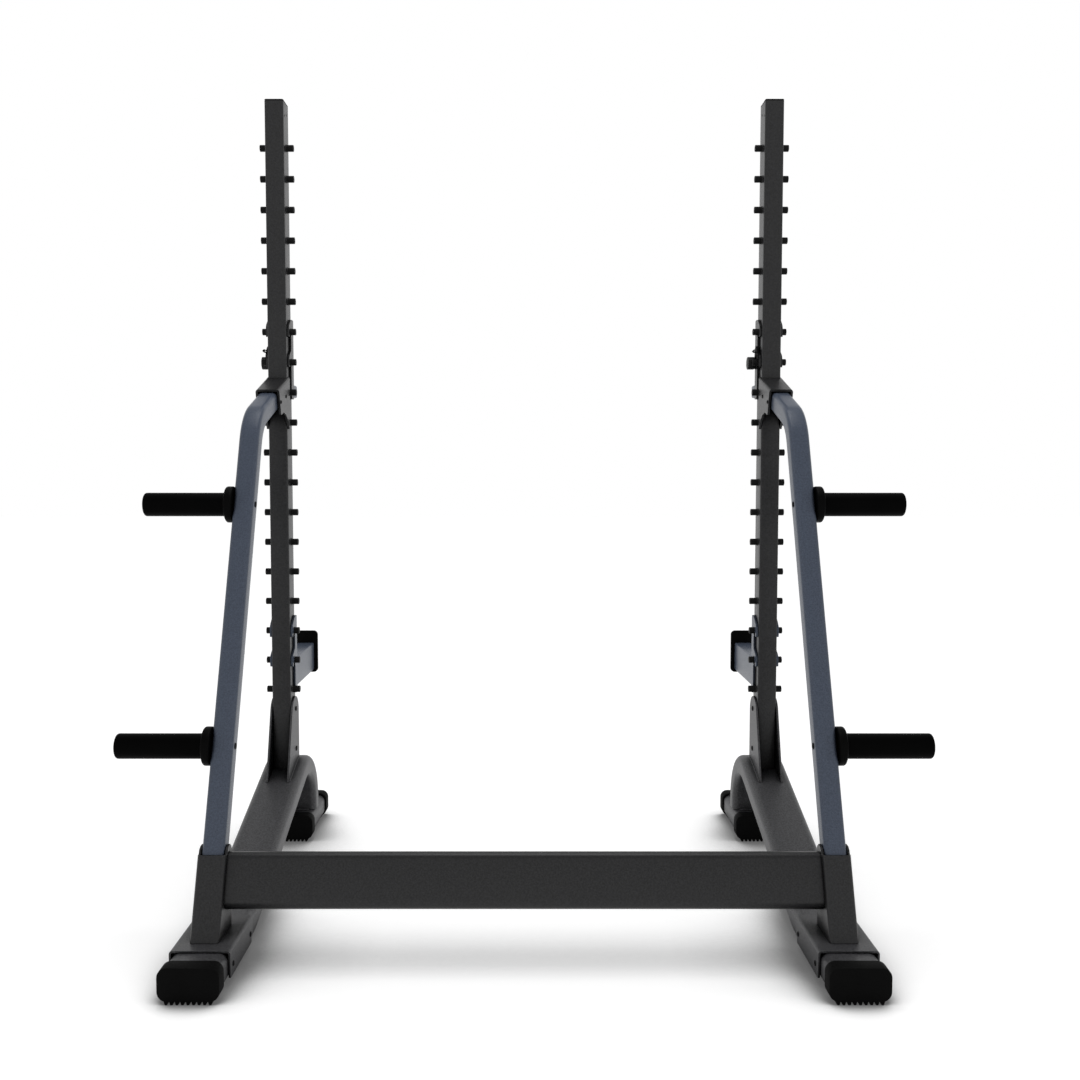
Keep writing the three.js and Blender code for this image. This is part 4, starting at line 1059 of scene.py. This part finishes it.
def catch_pad():
    """The liner of the J hook, which stands a little above its ends."""
    _, face, lip_in, _, _, floor, top, lip_top = jaw_lines()
    rear, under, lip = face + GAP, floor + GAP, lip_in - GAP
    return along_x(soft([
        (rear, top + LINER_PAST), (rear, under, LINER_OUT_ROUND), (lip, under, LINER_OUT_ROUND),
        (lip, lip_top + LINER_PAST), (lip - LINER_THICK, lip_top + LINER_PAST, LINER_END_ROUND),
        (lip - LINER_THICK, under + LINER_THICK, LINER_IN_ROUND),
        (rear + LINER_THICK, under + LINER_THICK, LINER_IN_ROUND),
        (rear + LINER_THICK, top + LINER_PAST, LINER_END_ROUND)], steps=8),
        -LINER_HALF, LINER_HALF)


def knob():
    outline = []
    for i in range(KNOB_POINTS):
        angle = 4 * QUARTER * i / KNOB_POINTS
        radius = KNOB_RADIUS - KNOB_FLUTE * max(0.0, math.cos(KNOB_FLUTES * angle)) ** 2
        outline.append((radius * math.cos(angle), radius * math.sin(angle)))
    z = peg_height(LATCH_PEG)
    grip = along_x(outline, KNOB_OUT_X, KNOB_IN_X, y=LATCH_Y, z=z, edge=KNOB_EDGE)
    overlap = 0.2
    shank = drill(LATCH_SHANK, KNOB_IN_X - overlap, LATCH_SHANK_END_X, LATCH_Y, z)
    return joined([grip, shank])


def make_catch(side):
    body = PREFIXES[side] + "catch"
    sheet = carve(hook_channel(**CATCH_HOOKS),
                  [drill(LATCH_HOLE, -CUT, 0, LATCH_Y, peg_height(LATCH_PEG))])
    place("catch_bracket_sheet", sheet, side, BLACK, body=body, node="catch_bracket", bevel=0.7)
    place("catch_jaw", catch_jaw(), side, BLUE, body=body, node="catch_hook", bevel=0.9)
    place("catch_pad", catch_pad(), side, PLASTIC, body=body, node="catch_liner", bevel=1.0)
    place("latch_grip", knob(), side, KNOB, body=PREFIXES[side] + "latch", node="latch_knob")


def make_arm(side):
    body = PREFIXES[side] + "arm"
    place("arm_bracket_sheet", hook_channel(**ARM_HOOKS), side, BLUE, body=body,
          node="arm_bracket", bevel=0.7)
    bottom = peg_height(ARM_HOOKS["first"] + 2) - ARM_HOOKS["below"] + ARM_RAISE
    middle = bottom + ARM_HEIGHT / 2
    beam = swept_tube(straight(hook_back(ARM_HOOKS), ARM_END_Y, middle), ARM_WIDTH, ARM_HEIGHT,
                      ARM_CORNER, ARM_WALL, steps=4)
    place("arm_bar", beam, side, BLUE, body=body, node="arm_beam")
    stop_y = ARM_END_Y + GAP
    stop = along_y(rounded_rect(STOP_WIDTH, STOP_HEIGHT, STOP_CORNER, 0,
                                bottom - STOP_DROP + STOP_HEIGHT / 2),
                   stop_y, stop_y + STOP_THICKNESS, edge=STOP_EDGE)
    plug_length, plug_sunk, plug_corner = 22, 4, 4
    spare = 2 * (ARM_WALL + GAP)
    plug = along_y(rounded_rect(ARM_WIDTH - spare, ARM_HEIGHT - spare, plug_corner, 0, middle,
                                steps=3),
                   ARM_END_Y + plug_sunk - plug_length, ARM_END_Y + plug_sunk)
    place("arm_stop", joined([stop, plug]), side, PLASTIC, body=body, node="arm_end_stop")


# Screws and welds

def button_screw(seat, radius, shank):
    """A low head on a sheet's face, with a dished middle and a shank down its hole."""
    reach, height, dish, edge, sides = 3, 1.6, 0.9, 0.4, 28
    crown, rim, floor = radius * 0.82, radius * 0.42, radius * 0.38
    top = seat + height
    return turned(eased([(0, seat - reach), (shank, seat - reach), (shank, seat), (radius, seat),
                         (crown, top), (rim, top), (floor, top - dish), (0, top - dish)], edge),
                  0, 0, sides)


def make_screws(side):
    """Small button heads over the holes of the saddle and of the upper bracket."""
    play = 0.1
    bracket_half = UPRIGHT_WIDTH / 2 + GAP + BRACKET_PLATE
    saddle_head, bracket_head = 5.4, 4.8
    screws = []
    for flip in (False, True):
        for y in SADDLE_HOLE_YS:
            screws.append(moved(button_screw(SADDLE_HALF, saddle_head, SADDLE_HOLE - play), y,
                                RAIL_MIDDLE, flip))
        for a, b in BRACKET_HOLES:
            screws.append(moved(button_screw(bracket_half, bracket_head, BRACKET_HOLE - play),
                                BRACKET_FRONT_Y + a, BRACKET_FRONT_Z - b, flip))
    place("small_screws", joined(screws), side, STEEL)


def bead(path, radius, step=1.1, sides=10):
    """A weld bead along a line of points, rippled as the torch moved on."""
    dense = []
    for a, b in zip(path, path[1:]):
        a, b = Vector(a), Vector(b)
        count = max(1, round((b - a).length / step))
        dense += [a.lerp(b, k / count) for k in range(count)]
    dense.append(Vector(path[-1]))
    rings = []
    for i, point in enumerate(dense):
        along = (dense[min(i + 1, len(dense) - 1)] - dense[max(i - 1, 0)]).normalized()
        across = along.cross(Vector((0, 0, 1))).normalized()
        up = across.cross(along)
        taper = min(1.0, 0.35 + 0.2 * min(i, len(dense) - 1 - i))
        size = radius * taper * (1 + 0.10 * math.sin(i * 1.9) + 0.04 * math.sin(i * 0.53))
        rings.append([point + (across * math.cos(t) + up * math.sin(t)) * size
                      for t in (4 * QUARTER * k / sides for k in range(sides))])
    return rings_to_mesh(rings)


def make_welds(side):
    """Beads at the gusset plates and at the arch's leg, half sunk in what they join."""
    inset, raised, gusset_gap, leg_gap, leg_half_width = 4, 0.4, 0.65, 0.6, 35
    start, end = UPRIGHT_FRONT - GUSSET_REACH + inset, GUSSET_MIDDLE_Y + GUSSET_ROUND - inset
    gusset_x, leg_offset = GUSSET_OUT + gusset_gap, RAIL_HEIGHT / 2 + leg_gap
    crown = [(point.x - tangent.y * RAIL_HEIGHT / 2, point.y + tangent.x * RAIL_HEIGHT / 2)
             for point, tangent in rail_stations(step=math.radians(3))]
    top = [p for p in crown if start < p[0] < end]
    first_y, first_z = top[0]
    top.insert(0, (start, first_z - (first_y - start) * math.tan(RAIL_SLOPE)))
    beads = [bead([(x, y, z + raised) for y, z in top], radius=2.2)
             for x in (-gusset_x, gusset_x)]
    for y in (LEG_Y - leg_offset, LEG_Y + leg_offset):
        beads.append(bead([(x, y, RAIL_TOP + raised) for x in (-leg_half_width, leg_half_width)],
                          radius=2.8))
    place("weld_beads", joined(beads), side, GREY)


for side_sign in (-1, 1):
    make_base(side_sign)
    make_welds(side_sign)
    make_brace(side_sign)
    make_upright(side_sign)
    make_foot_plates(side_sign)
    make_horns(side_sign)
    make_catch(side_sign)
    make_arm(side_sign)
    make_screws(side_sign)
    soften(frame["nodes"][PREFIXES[side_sign] + "latch_lever"], bevel=0.6)
make_beam()
